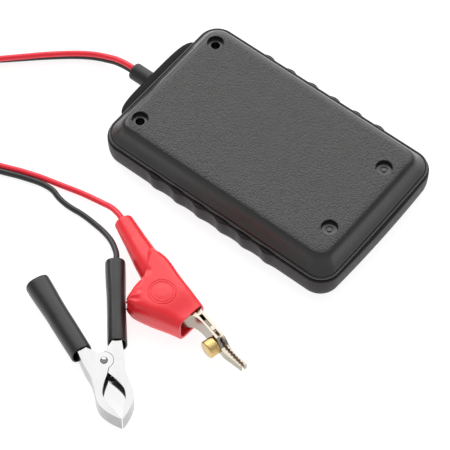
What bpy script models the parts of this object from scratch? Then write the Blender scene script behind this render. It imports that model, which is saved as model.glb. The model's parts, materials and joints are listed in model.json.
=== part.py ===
"""Hand-held 12 V battery tester with a twin test lead, lying face down.

Frame: metres, +Z up.  +X runs from the cable end to the free end of the case, the display face
rests on the floor at Z = 0 and the rear cover is on top.  All sizes below are in millimetres.
"""

import math

import bmesh
import bpy
from mathutils import Matrix, Vector

MM = 0.001
GAP = 0.3  # clearance between neighbouring pieces

# ---- case ----------------------------------------------------------------------------------
CASE_LENGTH = 125.0
CASE_WIDTH = 81.2
CASE_CORNER = 10.0
SEAM_Z = 13.0
CASE_HEIGHT = 22.0
GLAND_REACH = 76.0  # from the case's centre to the gland's outer end
END_BOW = 0.7  # how far the free end bows outwards
CASE_X = (GLAND_REACH - CASE_LENGTH / 2 - END_BOW) / 2  # centres case and gland on the origin
SHELL_WALL = 2.0
FACE_WALL = 2.4
ROOF_WALL = 2.2

GRIP_COUNT = 6
GRIP_PITCH = 12.2
GRIP_WIDTH = 9.8
GRIP_DEPTH = 1.2

BROW_HALF = 25.0
BROW_DEPTH = 3.8
BROW_Y = 1.2
BROW_TOP = 12.7
BROW_BOTTOM = 1.4

GLAND_Z = 7.0
GLAND_RADIUS = 4.0
GLAND_BORE = 2.95
GLAND_NECK = 3.5
GLAND_FLANGE = 4.3

DEEP_SCREWS = ((-50.1, 26.3), (-50.1, -26.3))
BLIND_DISHES = ((48.2, 19.4), (48.2, -19.4))
DISH_RADIUS = 3.7
DEEP_FLOOR = 19.8  # height of the floor around the screw holes
SHALLOW_FLOOR = 19.9
POST_RADIUS = 5.2

# ---- display side ---------------------------------------------------------------------------
OVERLAY = (104.0, 62.0, 0.5)
WINDOW = (56.0, 30.0)
WINDOW_X = -14.0
KEY_RADIUS = 5.0
KEYS = {"up": (35.0, 12.0), "down": (35.0, -12.0), "back": (25.5, 0.0), "enter": (44.5, 0.0)}
KEY_TRAVEL = 0.8
BOARD_Z = 7.4
BOARD_THICK = 1.6
BOARD = (92.0, 58.0)
BOARD_X = 5.0
STANDOFFS = [(x, y) for x in (BOARD_X - 42.0, BOARD_X + 42.0) for y in (-25.0, 25.0)]

# ---- lead -----------------------------------------------------------------------------------
WIRE_RADIUS = 1.25
PAIR_HALF = 1.4  # half the distance between the two conductors' centres
COIL_CENTRE = (-150.8, -74.0)
COIL_RADIUS = 18.0
COIL_WIDTH = 6.0
COIL_HEIGHT = 11.2
# Middle of the pair: x, y, z and the twist, 90 with black under red and 0 with them side by side.
FEED = [
    (-58.5, 0.0, 7.0, 90), (-67.0, 0.0, 7.0, 90), (-76.0, 0.1, 7.0, 90), (-82.0, 0.3, 6.2, 90),
    (-87.4, 0.2, 4.7, 88), (-92.5, -0.9, 3.4, 86), (-96.9, -2.6, 2.9, 84), (-102.0, -5.8, 2.8, 82),
    (-107.2, -9.9, 2.8, 80), (-116.3, -18.0, 2.75, 76), (-121.4, -22.9, 2.7, 72),
    (-129.4, -30.5, 2.6, 66), (-137.0, -37.4, 2.3, 40), (-144.0, -43.7, 1.7, 12),
    (-150.6, -49.6, 1.5, 0),
]
RETURN = [
    (-129.6, -86.4, 8.4, 0), (-122.0, -84.1, 6.0, 0), (-114.0, -81.6, 3.4, 0),
    (-104.0, -78.6, 1.6, 0), (-90.8, -74.5, 1.4, 0), (-82.2, -71.1, 1.4, 0), (-74.0, -68.4, 1.4, 0),
]
RED_TAIL = [
    (-64.5, -64.6, 1.4), (-54.3, -62.2, 1.6), (-44.0, -61.3, 3.2), (-36.0, -61.8, 5.8),
    (-29.0, -64.1, 7.0),
]
BLACK_TAIL = [
    (-66.1, -68.7, 1.4), (-59.1, -70.4, 1.4), (-53.0, -70.7, 1.4), (-47.1, -70.3, 1.4),
    (-40.5, -70.7, 1.6), (-33.4, -71.8, 2.4), (-25.9, -74.7, 4.2), (-18.0, -80.3, 5.4),
]

# ---- black clamp, in its own frame: +X from the pivot to the tip --------------------------------
BLACK_PIVOT = (10.2, -123.0)
BLACK_TURN = -35.0
BLACK_Z = (1.1, 9.7)
BLACK_SHEET = 0.9
HANDLE_START = Vector((-7.8, 7.7))
HANDLE_END = Vector((-46.4, 17.15))
TANG_HALF = 1.9
TANG_LENGTH = 35.0
SLEEVE_HEIGHT = 10.6
FIXED_SLEEVE = (4.1, 4.0, 4.3)
MOVING_SLEEVE = (4.7, 4.8, 5.3)
JAW_OUTER = [
    (0.0, 8.7), (5.8, 7.5), (10.8, 7.4), (16.0, 7.9), (20.0, 7.3), (23.3, 5.5), (26.0, 3.2), (28.8, 0.25),
]
JAW_INNER = [(28.0, 0.25), (22.7, 2.4), (19.1, 4.1), (15.0, 4.6), (11.0, 3.1), (6.6, 0.4)]
EAR_RADIUS = 4.0
RIVET_RADIUS = 1.05

# ---- red clip, in its own frame: +X from the pivot to the tip -----------------------------------
RED_PIVOT = (14.0, -82.0)
RED_TURN = -14.5
RED_SHEET = 0.8
NEAR_Z = (3.0, 13.0)
FAR_Z = (4.1, 11.9)
FAR_OUTER = [(43.4, 5.7), (38.5, 5.0), (35.0, 4.7), (31.0, 5.3), (28.0, 5.6), (-6.0, 5.5), (-11.2, 4.9)]
FAR_INNER = [(-11.4, 3.0), (-6.0, 3.0)]
FAR_EDGE = [(6.0, 3.4), (28.0, 3.4), (33.0, 3.7), (38.0, 4.2), (43.4, 4.5)]
NEAR_OUTER = [
    (43.2, 2.9), (38.0, 1.9), (33.5, 1.1), (29.5, 1.4), (16.5, 1.4), (13.2, 0.2), (11.0, -2.6),
    (7.0, -6.6), (1.0, -9.6), (-4.0, -12.0), (-6.8, -13.7),
]
NEAR_INNER = [(-7.8, -12.2), (-4.2, -9.2)]
NEAR_EDGE = [(6.5, 2.9), (29.0, 2.9), (34.0, 3.3), (38.0, 3.8), (43.2, 4.15)]
PIN_RADIUS = 1.2
STUD = (27.6, 3.85, 5.0)  # place along the jaw, radius, length
BOOT_OUTLINE = [
    (24.0, 6.9), (10.0, 7.4), (-5.0, 8.0), (-13.0, 8.8), (-17.0, 8.8), (-21.0, 7.9), (-24.3, 6.0),
    (-24.0, 3.4), (-21.5, 1.5), (-18.5, -0.3), (-16.2, -3.0), (-14.9, -6.2), (-13.9, -10.2), (-12.2, -14.3),
    (-10.6, -16.9), (-8.5, -18.0), (-5.9, -17.9), (-2.5, -16.6), (2.5, -14.2), (9.3, -10.3), (15.0, -7.4),
    (24.0, -3.7),
]
CAVITY_OUTLINE = [
    (32.0, 6.05), (10.0, 6.05), (-5.0, 6.1), (-12.0, 5.6), (-13.9, 3.4), (-13.6, -2.0), (-12.2, -8.0),
    (-11.2, -13.2), (-9.9, -16.2), (-8.2, -17.2), (-5.4, -16.2), (2.0, -12.6), (9.3, -8.8), (15.0, -5.9),
    (32.0, 1.4),
]
BOOT_SECTION = [
    (0.1, 4.2), (0.9, 1.8), (3.0, 0.4), (5.5, 0.0), (10.5, 0.0), (13.2, 0.5), (15.2, 1.9), (16.0, 4.2),
]
CAVITY_SECTION = [(1.7, 1.6), (3.0, 0.4), (5.0, 0.0), (11.0, 0.0), (13.0, 0.4), (14.4, 1.6)]
NECK = ((-45.6, 6.4, 7.0, 4.1), (-12.0, 0.7, 8.0, 6.1))
MOUTH = ((10.9, 8.5), (14.2, -8.6))


# ---- materials ------------------------------------------------------------------------------
COLOURS = {
    "case_plastic": ((0.030, 0.029, 0.030), 0.55, 0.0),
    "cover_plastic": ((0.045, 0.044, 0.043), 0.60, 0.0),
    "black_rubber": ((0.020, 0.020, 0.021), 0.60, 0.0),
    "overlay_film": ((0.08, 0.09, 0.11), 0.45, 0.0),
    "clear_window": ((0.75, 0.80, 0.80), 0.08, 0.0),
    "display_glass": ((0.42, 0.50, 0.44), 0.12, 0.0),
    "white_plastic": ((0.80, 0.80, 0.78), 0.45, 0.0),
    "key_rubber": ((0.12, 0.13, 0.15), 0.60, 0.0),
    "board_green": ((0.02, 0.16, 0.07), 0.45, 0.0),
    "chip_black": ((0.018, 0.018, 0.020), 0.50, 0.0),
    "ceramic_white": ((0.72, 0.70, 0.66), 0.75, 0.0),
    "steel": ((0.62, 0.62, 0.63), 0.30, 1.0),
    "bright_nickel": ((0.80, 0.80, 0.79), 0.22, 1.0),
    "gold_nickel": ((0.74, 0.67, 0.54), 0.25, 1.0),
    "brass": ((0.78, 0.57, 0.25), 0.28, 1.0),
    "red_pvc": ((0.80, 0.035, 0.045), 0.38, 0.0),
    "red_wire": ((0.78, 0.03, 0.05), 0.40, 0.0),
    "black_wire": ((0.022, 0.022, 0.023), 0.40, 0.0),
    "black_pvc": ((0.020, 0.020, 0.021), 0.32, 0.0),
    "lead_coil": ((0.30, 0.03, 0.035), 0.45, 0.0),
}


def material(name):
    found = bpy.data.materials.get(name)
    if found:
        return found
    colour, roughness, metallic = COLOURS[name]
    made = bpy.data.materials.new(name)
    made.use_nodes = True
    shader = made.node_tree.nodes["Principled BSDF"]
    shader.inputs["Base Color"].default_value = (*colour, 1.0)
    shader.inputs["Roughness"].default_value = roughness
    shader.inputs["Metallic"].default_value = metallic
    return made


# ---- modelling helpers, all in millimetres ---------------------------------------------------
CASE_FRAME = Matrix.Translation((CASE_X, 0, 0))
BLACK_FRAME = CASE_FRAME @ Matrix.Translation((*BLACK_PIVOT, 0))
BLACK_FRAME = BLACK_FRAME @ Matrix.Rotation(math.radians(BLACK_TURN), 4, "Z")
RED_FRAME = CASE_FRAME @ Matrix.Translation((*RED_PIVOT, 0)) @ Matrix.Rotation(math.radians(RED_TURN), 4, "Z")


def add(name, bm, slot, frame=CASE_FRAME, holder=None):
    """A mesh object from a bmesh in millimetres; holder is the empty on a moving piece's joint."""
    bmesh.ops.recalc_face_normals(bm, faces=bm.faces)
    mesh = bpy.data.meshes.new(name)
    bm.to_mesh(mesh)
    bm.free()
    mesh.transform(Matrix.Scale(MM, 4) @ frame)
    if holder:
        mesh.transform(holder.matrix_world.inverted())
    mesh.materials.append(material(slot))
    obj = bpy.data.objects.new(name, mesh)
    obj.parent = holder
    bpy.context.collection.objects.link(obj)
    return obj


def joint_empty(name, place, frame=CASE_FRAME):
    empty = bpy.data.objects.new(name, None)
    empty.empty_display_size = 0.01
    empty.location = (frame @ Vector(place)) * MM
    bpy.context.collection.objects.link(empty)
    bpy.context.view_layer.update()
    return empty


def loft(rings):
    """A closed body through rings of equally many points, its first and last ring capped."""
    bm = bmesh.new()
    rows = [[bm.verts.new(p) for p in ring] for ring in rings]
    count = len(rows[0])
    for low, high in zip(rows, rows[1:]):
        for i in range(count):
            j = (i + 1) % count
            bm.faces.new((low[i], low[j], high[j], high[i]))
    bm.faces.new(rows[0][::-1])
    bm.faces.new(rows[-1])
    return bm


def prism(outline, z_low, z_high):
    return loft([[(x, y, z) for x, y in outline] for z in (z_low, z_high)])


def box(size, centre, bevel=0.0):
    bm = bmesh.new()
    bmesh.ops.create_cube(bm, size=1.0, matrix=Matrix.Translation(centre) @ Matrix.Diagonal((*size, 1.0)))
    if bevel:
        bmesh.ops.bevel(bm, geom=bm.edges[:], offset=bevel, segments=1, affect="EDGES")
    return bm


def turned(profile, turn=Matrix(), sides=24, ring=False):
    """A body turned about Z from (radius, z) points; ring keeps a hollow centre."""
    angles = [2 * math.pi * i / sides for i in range(sides)]
    rings = [[turn @ Vector((r * math.cos(a), r * math.sin(a), z)) for a in angles] for r, z in profile]
    if not ring:
        return loft(rings)
    bm = bmesh.new()
    rows = [[bm.verts.new(p) for p in points] for points in rings]
    for low, high in zip(rows, rows[1:] + rows[:1]):
        for i in range(sides):
            j = (i + 1) % sides
            bm.faces.new((low[i], low[j], high[j], high[i]))
    return bm


def rod(radius, z_low, z_high, place=(0.0, 0.0), sides=24):
    return turned([(radius, z_low), (radius, z_high)], Matrix.Translation((*place, 0)), sides)


def combine(obj, operation, tools):
    """Unites obj with, or cuts from it, each tool in turn, and removes the tools."""
    for tool in tools:
        step = obj.modifiers.new(tool.name, "BOOLEAN")
        step.operation = operation
        step.solver = "EXACT"
        step.object = tool
    bpy.context.view_layer.update()
    whole = bpy.data.meshes.new_from_object(obj.evaluated_get(bpy.context.evaluated_depsgraph_get()))
    obj.modifiers.clear()
    obj.data = whole
    for tool in tools:
        bpy.data.objects.remove(tool)


def tool(bm, frame=CASE_FRAME, holder=None):
    return add("tool", bm, "steel", frame, holder)


def through(points, spacing, power=0.5):
    """Evenly spaced points along a smooth curve through the given ones (any number of numbers each)."""
    knots = [Vector(p) for p in points]
    ends = [2 * knots[0] - knots[1], *knots, 2 * knots[-1] - knots[-2]]
    fine = []
    for p0, p1, p2, p3 in zip(ends, ends[1:], ends[2:], ends[3:]):
        t1 = (p1 - p0).length ** power
        t2 = t1 + (p2 - p1).length ** power
        t3 = t2 + (p3 - p2).length ** power
        for step in range(12):
            t = t1 + (t2 - t1) * step / 12
            a1 = p0 * ((t1 - t) / t1) + p1 * (t / t1)
            a2 = p1 * ((t2 - t) / (t2 - t1)) + p2 * ((t - t1) / (t2 - t1))
            a3 = p2 * ((t3 - t) / (t3 - t2)) + p3 * ((t - t2) / (t3 - t2))
            b1 = a1 * ((t2 - t) / t2) + a2 * (t / t2)
            b2 = a2 * ((t3 - t) / (t3 - t1)) + a3 * ((t - t1) / (t3 - t1))
            fine.append(b1 * ((t2 - t) / (t2 - t1)) + b2 * ((t - t1) / (t2 - t1)))
    fine.append(knots[-1])
    runs = [0.0]
    for a, b in zip(fine, fine[1:]):
        runs.append(runs[-1] + (b - a).length)
    count = max(2, round(runs[-1] / spacing))
    spaced, i = [], 0
    for k in range(count + 1):
        want = runs[-1] * k / count
        while i < len(runs) - 2 and runs[i + 1] < want:
            i += 1
        share = (want - runs[i]) / (runs[i + 1] - runs[i])
        spaced.append(fine[i].lerp(fine[i + 1], min(max(share, 0.0), 1.0)))
    return spaced


def tube(name, points, radius, slot, frame=CASE_FRAME, holder=None):
    curve = bpy.data.curves.new(name, "CURVE")
    curve.dimensions = "3D"
    curve.bevel_depth = radius * MM
    curve.bevel_resolution = 2
    curve.use_fill_caps = True
    spline = curve.splines.new("POLY")
    spline.points.add(len(points) - 1)
    for point, place in zip(spline.points, points):
        point.co = (*((frame @ Vector(place)) * MM), 1.0)
    curve.materials.append(material(slot))
    obj = bpy.data.objects.new(name, curve)
    obj.parent = holder
    if holder:
        obj.matrix_parent_inverse = holder.matrix_world.inverted()
    bpy.context.collection.objects.link(obj)
    return obj


def inset_outline(outline, inset):
    """The outline moved inwards; it runs counter-clockwise."""
    moved = []
    for before, here, after in zip(outline[-1:] + outline[:-1], outline, outline[1:] + outline[:1]):
        one = Vector((here[0] - before[0], here[1] - before[1])).normalized()
        two = Vector((after[0] - here[0], after[1] - here[1])).normalized()
        inward = Vector((-one.y - two.y, one.x + two.x)).normalized()
        reach = inset / max(inward.dot(Vector((-one.y, one.x))), 0.6)
        moved.append((here[0] + inward.x * reach, here[1] + inward.y * reach))
    return moved


def shifted(curve, distance):
    """An open line of points moved sideways, to the left of its direction."""
    moved = []
    for i, here in enumerate(curve):
        before, after = curve[max(i - 1, 0)], curve[min(i + 1, len(curve) - 1)]
        run = Vector((after[0] - before[0], after[1] - before[1])).normalized()
        moved.append((here[0] - run.y * distance, here[1] + run.x * distance))
    return moved


# ---- case -----------------------------------------------------------------------------------
def case_outline(inset, grip=0.0, bow=END_BOW, grip_steps=6):
    """Rounded rectangle, `inset` inside the rim, with six finger swells on each long side."""
    half_x, half_y = CASE_LENGTH / 2 - inset, CASE_WIDTH / 2 - inset
    radius = max(CASE_CORNER - inset, 2.5)
    flat_x, flat_y = half_x - radius, half_y - radius
    reach = GRIP_COUNT * GRIP_PITCH / 2
    count = GRIP_COUNT * grip_steps
    stations = [-reach + 2 * reach * i / count for i in range(count + 1)] if grip_steps else []

    def swell(x):
        from_middle = (x / GRIP_PITCH % 1.0 - 0.5) * GRIP_PITCH
        if abs(from_middle) > GRIP_WIDTH / 2:
            return 0.0
        return 0.5 + 0.5 * math.cos(2 * math.pi * from_middle / GRIP_WIDTH)

    points = []
    corners = [(1, -1, -90), (1, 1, 0), (-1, 1, 90), (-1, -1, 180)]
    for sx, sy, start in corners:
        for step in range(7):
            angle = math.radians(start + 15 * step)
            points.append((sx * flat_x + radius * math.cos(angle), sy * flat_y + radius * math.sin(angle)))
        if (sx, sy) == (1, -1):
            for step in range(1, 8):
                y = flat_y * (step / 4 - 1)
                points.append((half_x + bow * (1 - (y / flat_y) ** 2), y))
        elif (sx, sy) == (1, 1):
            points += [(x, half_y + grip * GRIP_DEPTH * swell(x)) for x in reversed(stations)]
        elif (sx, sy) == (-1, -1):
            points += [(x, -half_y - grip * GRIP_DEPTH * swell(x)) for x in stations]
    return points


def ring(z, inset, **outline):
    return [(x, y, z) for x, y in case_outline(inset, **outline)]


def front_shell():
    levels = [
        (0.0, 2.6, 0.0), (0.6, 1.2, 0.3), (2.2, 0.2, 0.8), (4.0, 0.0, 1.0), (12.5, 0.0, 1.0),
        (SEAM_Z, 0.4, 1.0), (SEAM_Z, SHELL_WALL, 0.0), (FACE_WALL, SHELL_WALL + 0.4, 0.0),
    ]
    shell = add("front_shell", loft([ring(z, inset, grip=grip) for z, inset, grip in levels]), "case_plastic")
    brow = [(-CASE_LENGTH / 2 + 1.2, side * BROW_HALF + BROW_Y) for side in (-1, 1)]
    for step in range(1, 16):
        y = BROW_HALF * (1 - step / 8)
        brow.append((-CASE_LENGTH / 2 - BROW_DEPTH * (1 - abs(y / BROW_HALF) ** 4) ** 0.6, y + BROW_Y))
    solids = [tool(prism(brow, BROW_BOTTOM, BROW_TOP))]
    solids += [tool(rod(3.2, FACE_WALL - 0.4, 8.7, place, 16)) for place in DEEP_SCREWS]
    solids += [tool(rod(2.6, FACE_WALL - 0.4, BOARD_Z - GAP, place, 16)) for place in STANDOFFS]
    combine(shell, "UNION", solids)
    cuts = [
        tool(box((OVERLAY[0] + 2 * GAP, OVERLAY[1] + 2 * GAP, 2.0), (0, 0, OVERLAY[2] + GAP - 1.0))),
        tool(box((*WINDOW, 8.0), (WINDOW_X, 0, 1.0))),
        tool(turned([(GLAND_NECK + GAP, 50.0), (GLAND_NECK + GAP, 75.0)], along_minus_x(GLAND_Z))),
    ]
    cuts += [tool(rod(KEY_RADIUS + GAP, -2.0, 5.0, place)) for place in KEYS.values()]
    cuts += [tool(rod(1.4, 3.6, 12.0, place, 12)) for place in DEEP_SCREWS]
    cuts += [tool(rod(1.3, 3.4, 12.0, place, 12)) for place in STANDOFFS]
    combine(shell, "DIFFERENCE", cuts)


def along_minus_x(z, y=0.0):
    """Turns local +Z to the case's -X, with its axis at height z."""
    return Matrix.Translation((0, y, z)) @ Matrix.Rotation(-math.pi / 2, 4, "Y")


def rear_cover():
    levels = [
        (CASE_HEIGHT, 8.5), (21.6, 7.1), (20.9, 6.1), (20.0, 5.4), (18.3, 4.6), (16.2, 3.5), (14.5, 2.4),
        (14.35, 1.0), (14.0, 0.6), (SEAM_Z + GAP, 0.6), (SEAM_Z + GAP, 2.2), (14.6, 4.0), (19.0, 6.6),
        (CASE_HEIGHT - ROOF_WALL, 9.0),
    ]
    rings = [ring(z, inset, bow=0.3, grip_steps=0) for z, inset in levels]
    cover = add("rear_cover", loft(rings), "cover_plastic")
    posts = [tool(rod(POST_RADIUS, 9.0, 20.6, place, 24)) for place in DEEP_SCREWS]
    posts += [tool(rod(DISH_RADIUS + 1.0, 18.4, 20.6, place, 24)) for place in BLIND_DISHES]
    combine(cover, "UNION", posts)
    cuts = []
    for place in DEEP_SCREWS:
        bore = [
            (1.4, 8.0), (1.4, 12.0), (2.0, 12.0), (2.0, DEEP_FLOOR), (DISH_RADIUS - 0.3, DEEP_FLOOR),
            (DISH_RADIUS, 23.0),
        ]
        cuts.append(tool(turned(bore, Matrix.Translation((*place, 0)))))
    for place in BLIND_DISHES:
        dish = [
            (0.9, SHALLOW_FLOOR + 0.2), (1.0, SHALLOW_FLOOR - 0.25), (1.5, SHALLOW_FLOOR - 0.25),
            (1.7, SHALLOW_FLOOR), (DISH_RADIUS - 0.3, SHALLOW_FLOOR), (DISH_RADIUS, 23.0),
        ]
        cuts.append(tool(turned(dish, Matrix.Translation((*place, 0)))))
    combine(cover, "DIFFERENCE", cuts)


def cable_gland():
    inner = CASE_LENGTH / 2 - SHELL_WALL - 0.4
    outer = CASE_LENGTH / 2 + BROW_DEPTH
    profile = [
        (GLAND_BORE, GLAND_REACH), (3.4, GLAND_REACH), (GLAND_RADIUS, GLAND_REACH - 0.9),
        (GLAND_RADIUS, outer + GAP), (GLAND_NECK, outer + GAP), (GLAND_NECK, inner - GAP),
        (GLAND_FLANGE, inner - GAP), (GLAND_FLANGE, inner - 1.7), (GLAND_BORE, inner - 1.7),
    ]
    add("cable_gland", turned(profile, along_minus_x(GLAND_Z), ring=True), "black_rubber")


def case_screws():
    for number, place in enumerate(DEEP_SCREWS, 1):
        profile = [(1.0, 4.4), (1.0, 12.3), (1.7, 12.3), (1.7, 13.6), (1.2, 14.0)]
        screw = add(f"case_screw_{number}", turned(profile, Matrix.Translation((*place, 0)), 16), "steel")
        slot = [tool(box((*size, 1.2), (*place, 13.9))) for size in ((1.9, 0.5), (0.5, 1.9))]
        combine(screw, "DIFFERENCE", slot)


# ---- display side and inside ------------------------------------------------------------------
def display():
    overlay = add("face_overlay", box(OVERLAY, (0, 0, GAP + OVERLAY[2] / 2)), "overlay_film")
    cuts = [tool(box((WINDOW[0] - 4, WINDOW[1] - 4, 4.0), (WINDOW_X, 0, 0)))]
    cuts += [tool(rod(KEY_RADIUS + GAP, -2.0, 3.0, place)) for place in KEYS.values()]
    combine(overlay, "DIFFERENCE", cuts)
    lens = (WINDOW[0] - 2 * GAP, WINDOW[1] - 2 * GAP, 1.2)
    add("display_window", box(lens, (WINDOW_X, 0, 1.7), 0.15), "clear_window")
    frame = add("display_frame", box((64.0, 38.0, 4.4), (WINDOW_X, 0, 4.9), 0.3), "white_plastic")
    combine(frame, "DIFFERENCE", [tool(box((58.0, 32.0, 8.0), (WINDOW_X, 0, 4.9)))])
    add("display_glass", box((57.4, 31.4, 2.0), (WINDOW_X, 0, 3.7), 0.15), "display_glass")
    add("display_backlight", box((57.4, 31.4, 2.0), (WINDOW_X, 0, 6.0), 0.15), "white_plastic")


def keys():
    for name, (x, y) in KEYS.items():
        holder = joint_empty(f"{name}_key_slide", (x, y, 0))
        profile = [
            (KEY_RADIUS - 0.6, 0.35), (KEY_RADIUS, 0.9), (KEY_RADIUS, FACE_WALL + GAP),
            (KEY_RADIUS + 0.9, FACE_WALL + GAP), (KEY_RADIUS + 0.9, 3.3), (1.6, 3.3), (1.6, 3.9),
        ]
        add(f"{name}_key", turned(profile, Matrix.Translation((x, y, 0))), "key_rubber", holder=holder)
        switch = add(f"{name}_switch", box((6.0, 6.0, 1.8), (x, y, BOARD_Z - GAP - 0.9), 0.2), "chip_black")
        combine(switch, "UNION", [tool(rod(1.6, 3.9 + KEY_TRAVEL + GAP, 6.0, (x, y), 16))])


def board():
    middle = BOARD_Z + BOARD_THICK / 2
    top = BOARD_Z + BOARD_THICK + GAP
    plate = add("main_board", box((*BOARD, BOARD_THICK), (BOARD_X, 0, middle)), "board_green")
    combine(plate, "DIFFERENCE", [tool(rod(1.4, 5.0, 12.0, place, 16)) for place in STANDOFFS])
    for number, place in enumerate(STANDOFFS, 1):
        profile = [(1.0, 3.8), (1.0, top), (2.2, top), (2.2, top + 1.1), (1.6, top + 1.6)]
        add(f"board_screw_{number}", turned(profile, Matrix.Translation((*place, 0)), 16), "steel")
    chips = {
        "microcontroller": ((14.0, 14.0, 1.6), (14.0, 4.0)),
        "power_transistor": ((10.0, 15.0, 4.4), (-18.0, 14.0)),
        "load_resistor": ((9.0, 30.0, 8.0), (-31.0, 2.0)),
        "current_shunt": ((6.4, 12.0, 1.2), (-18.0, -4.0)),
        "clock_crystal": ((4.6, 11.0, 3.6), (28.0, 14.0)),
    }
    looks = {"load_resistor": "ceramic_white", "current_shunt": "steel", "clock_crystal": "steel"}
    for name, ((sx, sy, sz), (x, y)) in chips.items():
        add(name, box((sx, sy, sz), (x, y, top + sz / 2), 0.3), looks.get(name, "chip_black"))
    capacitor = [(3.6, -6.0), (4.0, -5.6), (4.0, 5.6), (3.6, 6.0)]
    flat = Matrix.Translation((-14.0, -17.0, top + 4.1)) @ Matrix.Rotation(math.pi / 2, 4, "Y")
    add("smoothing_capacitor", turned(capacitor, flat, 20), "black_rubber")
    sounder = [(6.0, top), (6.0, top + 7.0), (5.4, top + 7.6), (1.2, top + 7.6), (1.2, top + 6.2)]
    add("sounder", turned(sounder, Matrix.Translation((30.0, -12.0, 0))), "chip_black")


# ---- lead -------------------------------------------------------------------------------------
def conductors(middle_line):
    """The red and the black conductor's points from the middle of the pair and its twist."""
    red, black = [], []
    for i, here in enumerate(middle_line):
        before, after = middle_line[max(i - 1, 0)], middle_line[min(i + 1, len(middle_line) - 1)]
        run = Vector((after[0] - before[0], after[1] - before[1], 0)).normalized()
        twist = math.radians(here[3])
        to_black = Vector((run.y, -run.x, 0)) * math.cos(twist) - Vector((0, 0, math.sin(twist)))
        red.append(Vector(here[:3]) - PAIR_HALF * to_black)
        black.append(Vector(here[:3]) + PAIR_HALF * to_black)
    return red, black


def lead():
    wires = {"red": 0, "black": 1}
    feed = conductors(through(FEED, 5.5))
    home = conductors(through(RETURN, 6.0))
    tails = {"red": RED_TAIL, "black": BLACK_TAIL}
    inside = {
        "red": [
            (-58.0, 0.0, 8.4), (-56.0, 0.0, 8.5), (-52.0, -1.5, 9.8), (-46.0, -4.0, 11.6), (-40.0, -10.0, 11.4),
            (-37.6, -17.0, 11.1),
        ],
        "black": [
            (-58.0, 0.0, 5.6), (-56.0, 0.0, 5.6), (-52.6, -2.6, 6.2), (-49.0, -9.0, 8.0), (-45.5, -15.0, 10.6),
            (-41.0, -20.0, 11.1),
        ],
    }
    for name, side in wires.items():
        slot = f"{name}_wire"
        tube(f"{name}_inner_lead", through(inside[name], 3.5), WIRE_RADIUS, slot)
        tube(f"{name}_lead_feed", feed[side], WIRE_RADIUS, slot)
        tail = through([*home[side], *tails[name]], 5.0)
        tube(f"{name}_lead_return", tail, WIRE_RADIUS, slot)
    section = [
        (-COIL_WIDTH / 2, 1.2), (-COIL_WIDTH / 2 + 1.1, 0.05), (COIL_WIDTH / 2 - 1.1, 0.05), (COIL_WIDTH / 2, 1.2),
        (COIL_WIDTH / 2, COIL_HEIGHT - 1.1), (COIL_WIDTH / 2 - 1.1, COIL_HEIGHT),
        (-COIL_WIDTH / 2 + 1.1, COIL_HEIGHT), (-COIL_WIDTH / 2, COIL_HEIGHT - 1.1),
    ]
    profile = [(COIL_RADIUS + off, z) for off, z in section]
    place = Matrix.Translation((*COIL_CENTRE, 0))
    add("lead_coil", turned(profile, place, 36, ring=True), "lead_coil")


# ---- black clamp ------------------------------------------------------------------------------
def handle_point(along, across):
    """A point beside the handle's middle line, across counted towards its outer side."""
    run = (HANDLE_END - HANDLE_START).normalized()
    return HANDLE_START + run * along + Vector((-run.y, run.x)) * -across


def flip(points, side):
    flipped = [(x, y * side) for x, y in points]
    return flipped if side > 0 else flipped[::-1]


def lever_outline():
    """Plan outline of the lever on the +Y side: tang, jaw and the ear around the pivot."""
    outer = [tuple(p) for p in through([handle_point(0, TANG_HALF), *JAW_OUTER], 2.4)]
    inner = [tuple(p) for p in through(JAW_INNER, 2.4)]
    ear = [
        (EAR_RADIUS * math.cos(math.radians(a)), EAR_RADIUS * math.sin(math.radians(a)))
        for a in range(-15, -196, -20)
    ]
    tang = [handle_point(0, -TANG_HALF), handle_point(TANG_LENGTH, -TANG_HALF), handle_point(TANG_LENGTH, TANG_HALF)]
    return outer, [*outer, *inner, *ear, *(tuple(p) for p in tang)]


def black_lever(name, side, ears_inside, holder=None):
    z_low, z_high = BLACK_Z
    outer, outline = lever_outline()
    lever = add(name, prism(flip(outline, side), z_low, z_high), "bright_nickel", BLACK_FRAME, holder)
    web = shifted([tuple(handle_point(TANG_LENGTH + 2, TANG_HALF)), *outer], -BLACK_SHEET)

    def hollow(low, high, x_from=-43.0, x_to=24.5, thicker=0.0):
        """The channel inside the web, open towards the other lever."""
        kept = [(x, y - thicker) for x, y in web if x_from + 0.3 < x < x_to - 0.3]
        first, last = ((x, height_at(web, x) - thicker) for x in (x_from, x_to))
        shape = [first, *kept, last, (x_to, -12.0), (x_from, -12.0)]
        return tool(prism(flip(shape, side), low, high), BLACK_FRAME, holder)

    if ears_inside:
        step = BLACK_SHEET + GAP
        cuts = [
            hollow(z_low + step + BLACK_SHEET, z_high - step - BLACK_SHEET, thicker=0.1),
            hollow(z_low + BLACK_SHEET, z_high - BLACK_SHEET, x_from=7.4),
            hollow(z_low + BLACK_SHEET, z_high - BLACK_SHEET, x_to=-7.4),
            tool(rod(6.15, z_high - step, z_high + 2), BLACK_FRAME, holder),
            tool(rod(6.15, z_low - 2, z_low + step), BLACK_FRAME, holder),
        ]
    else:
        cuts = [hollow(z_low + BLACK_SHEET, z_high - BLACK_SHEET)]
    cuts.append(tool(rod(RIVET_RADIUS + GAP, -2, 14, sides=16), BLACK_FRAME, holder))
    combine(lever, "DIFFERENCE", cuts)


def height_at(line, x):
    """The y of an open line of points at x, which grows along it."""
    for a, b in zip(line, line[1:]):
        if a[0] <= x <= b[0] and b[0] > a[0]:
            return a[1] + (b[1] - a[1]) * (x - a[0]) / (b[0] - a[0])
    return line[0][1] if x < line[0][0] else line[-1][1]


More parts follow.
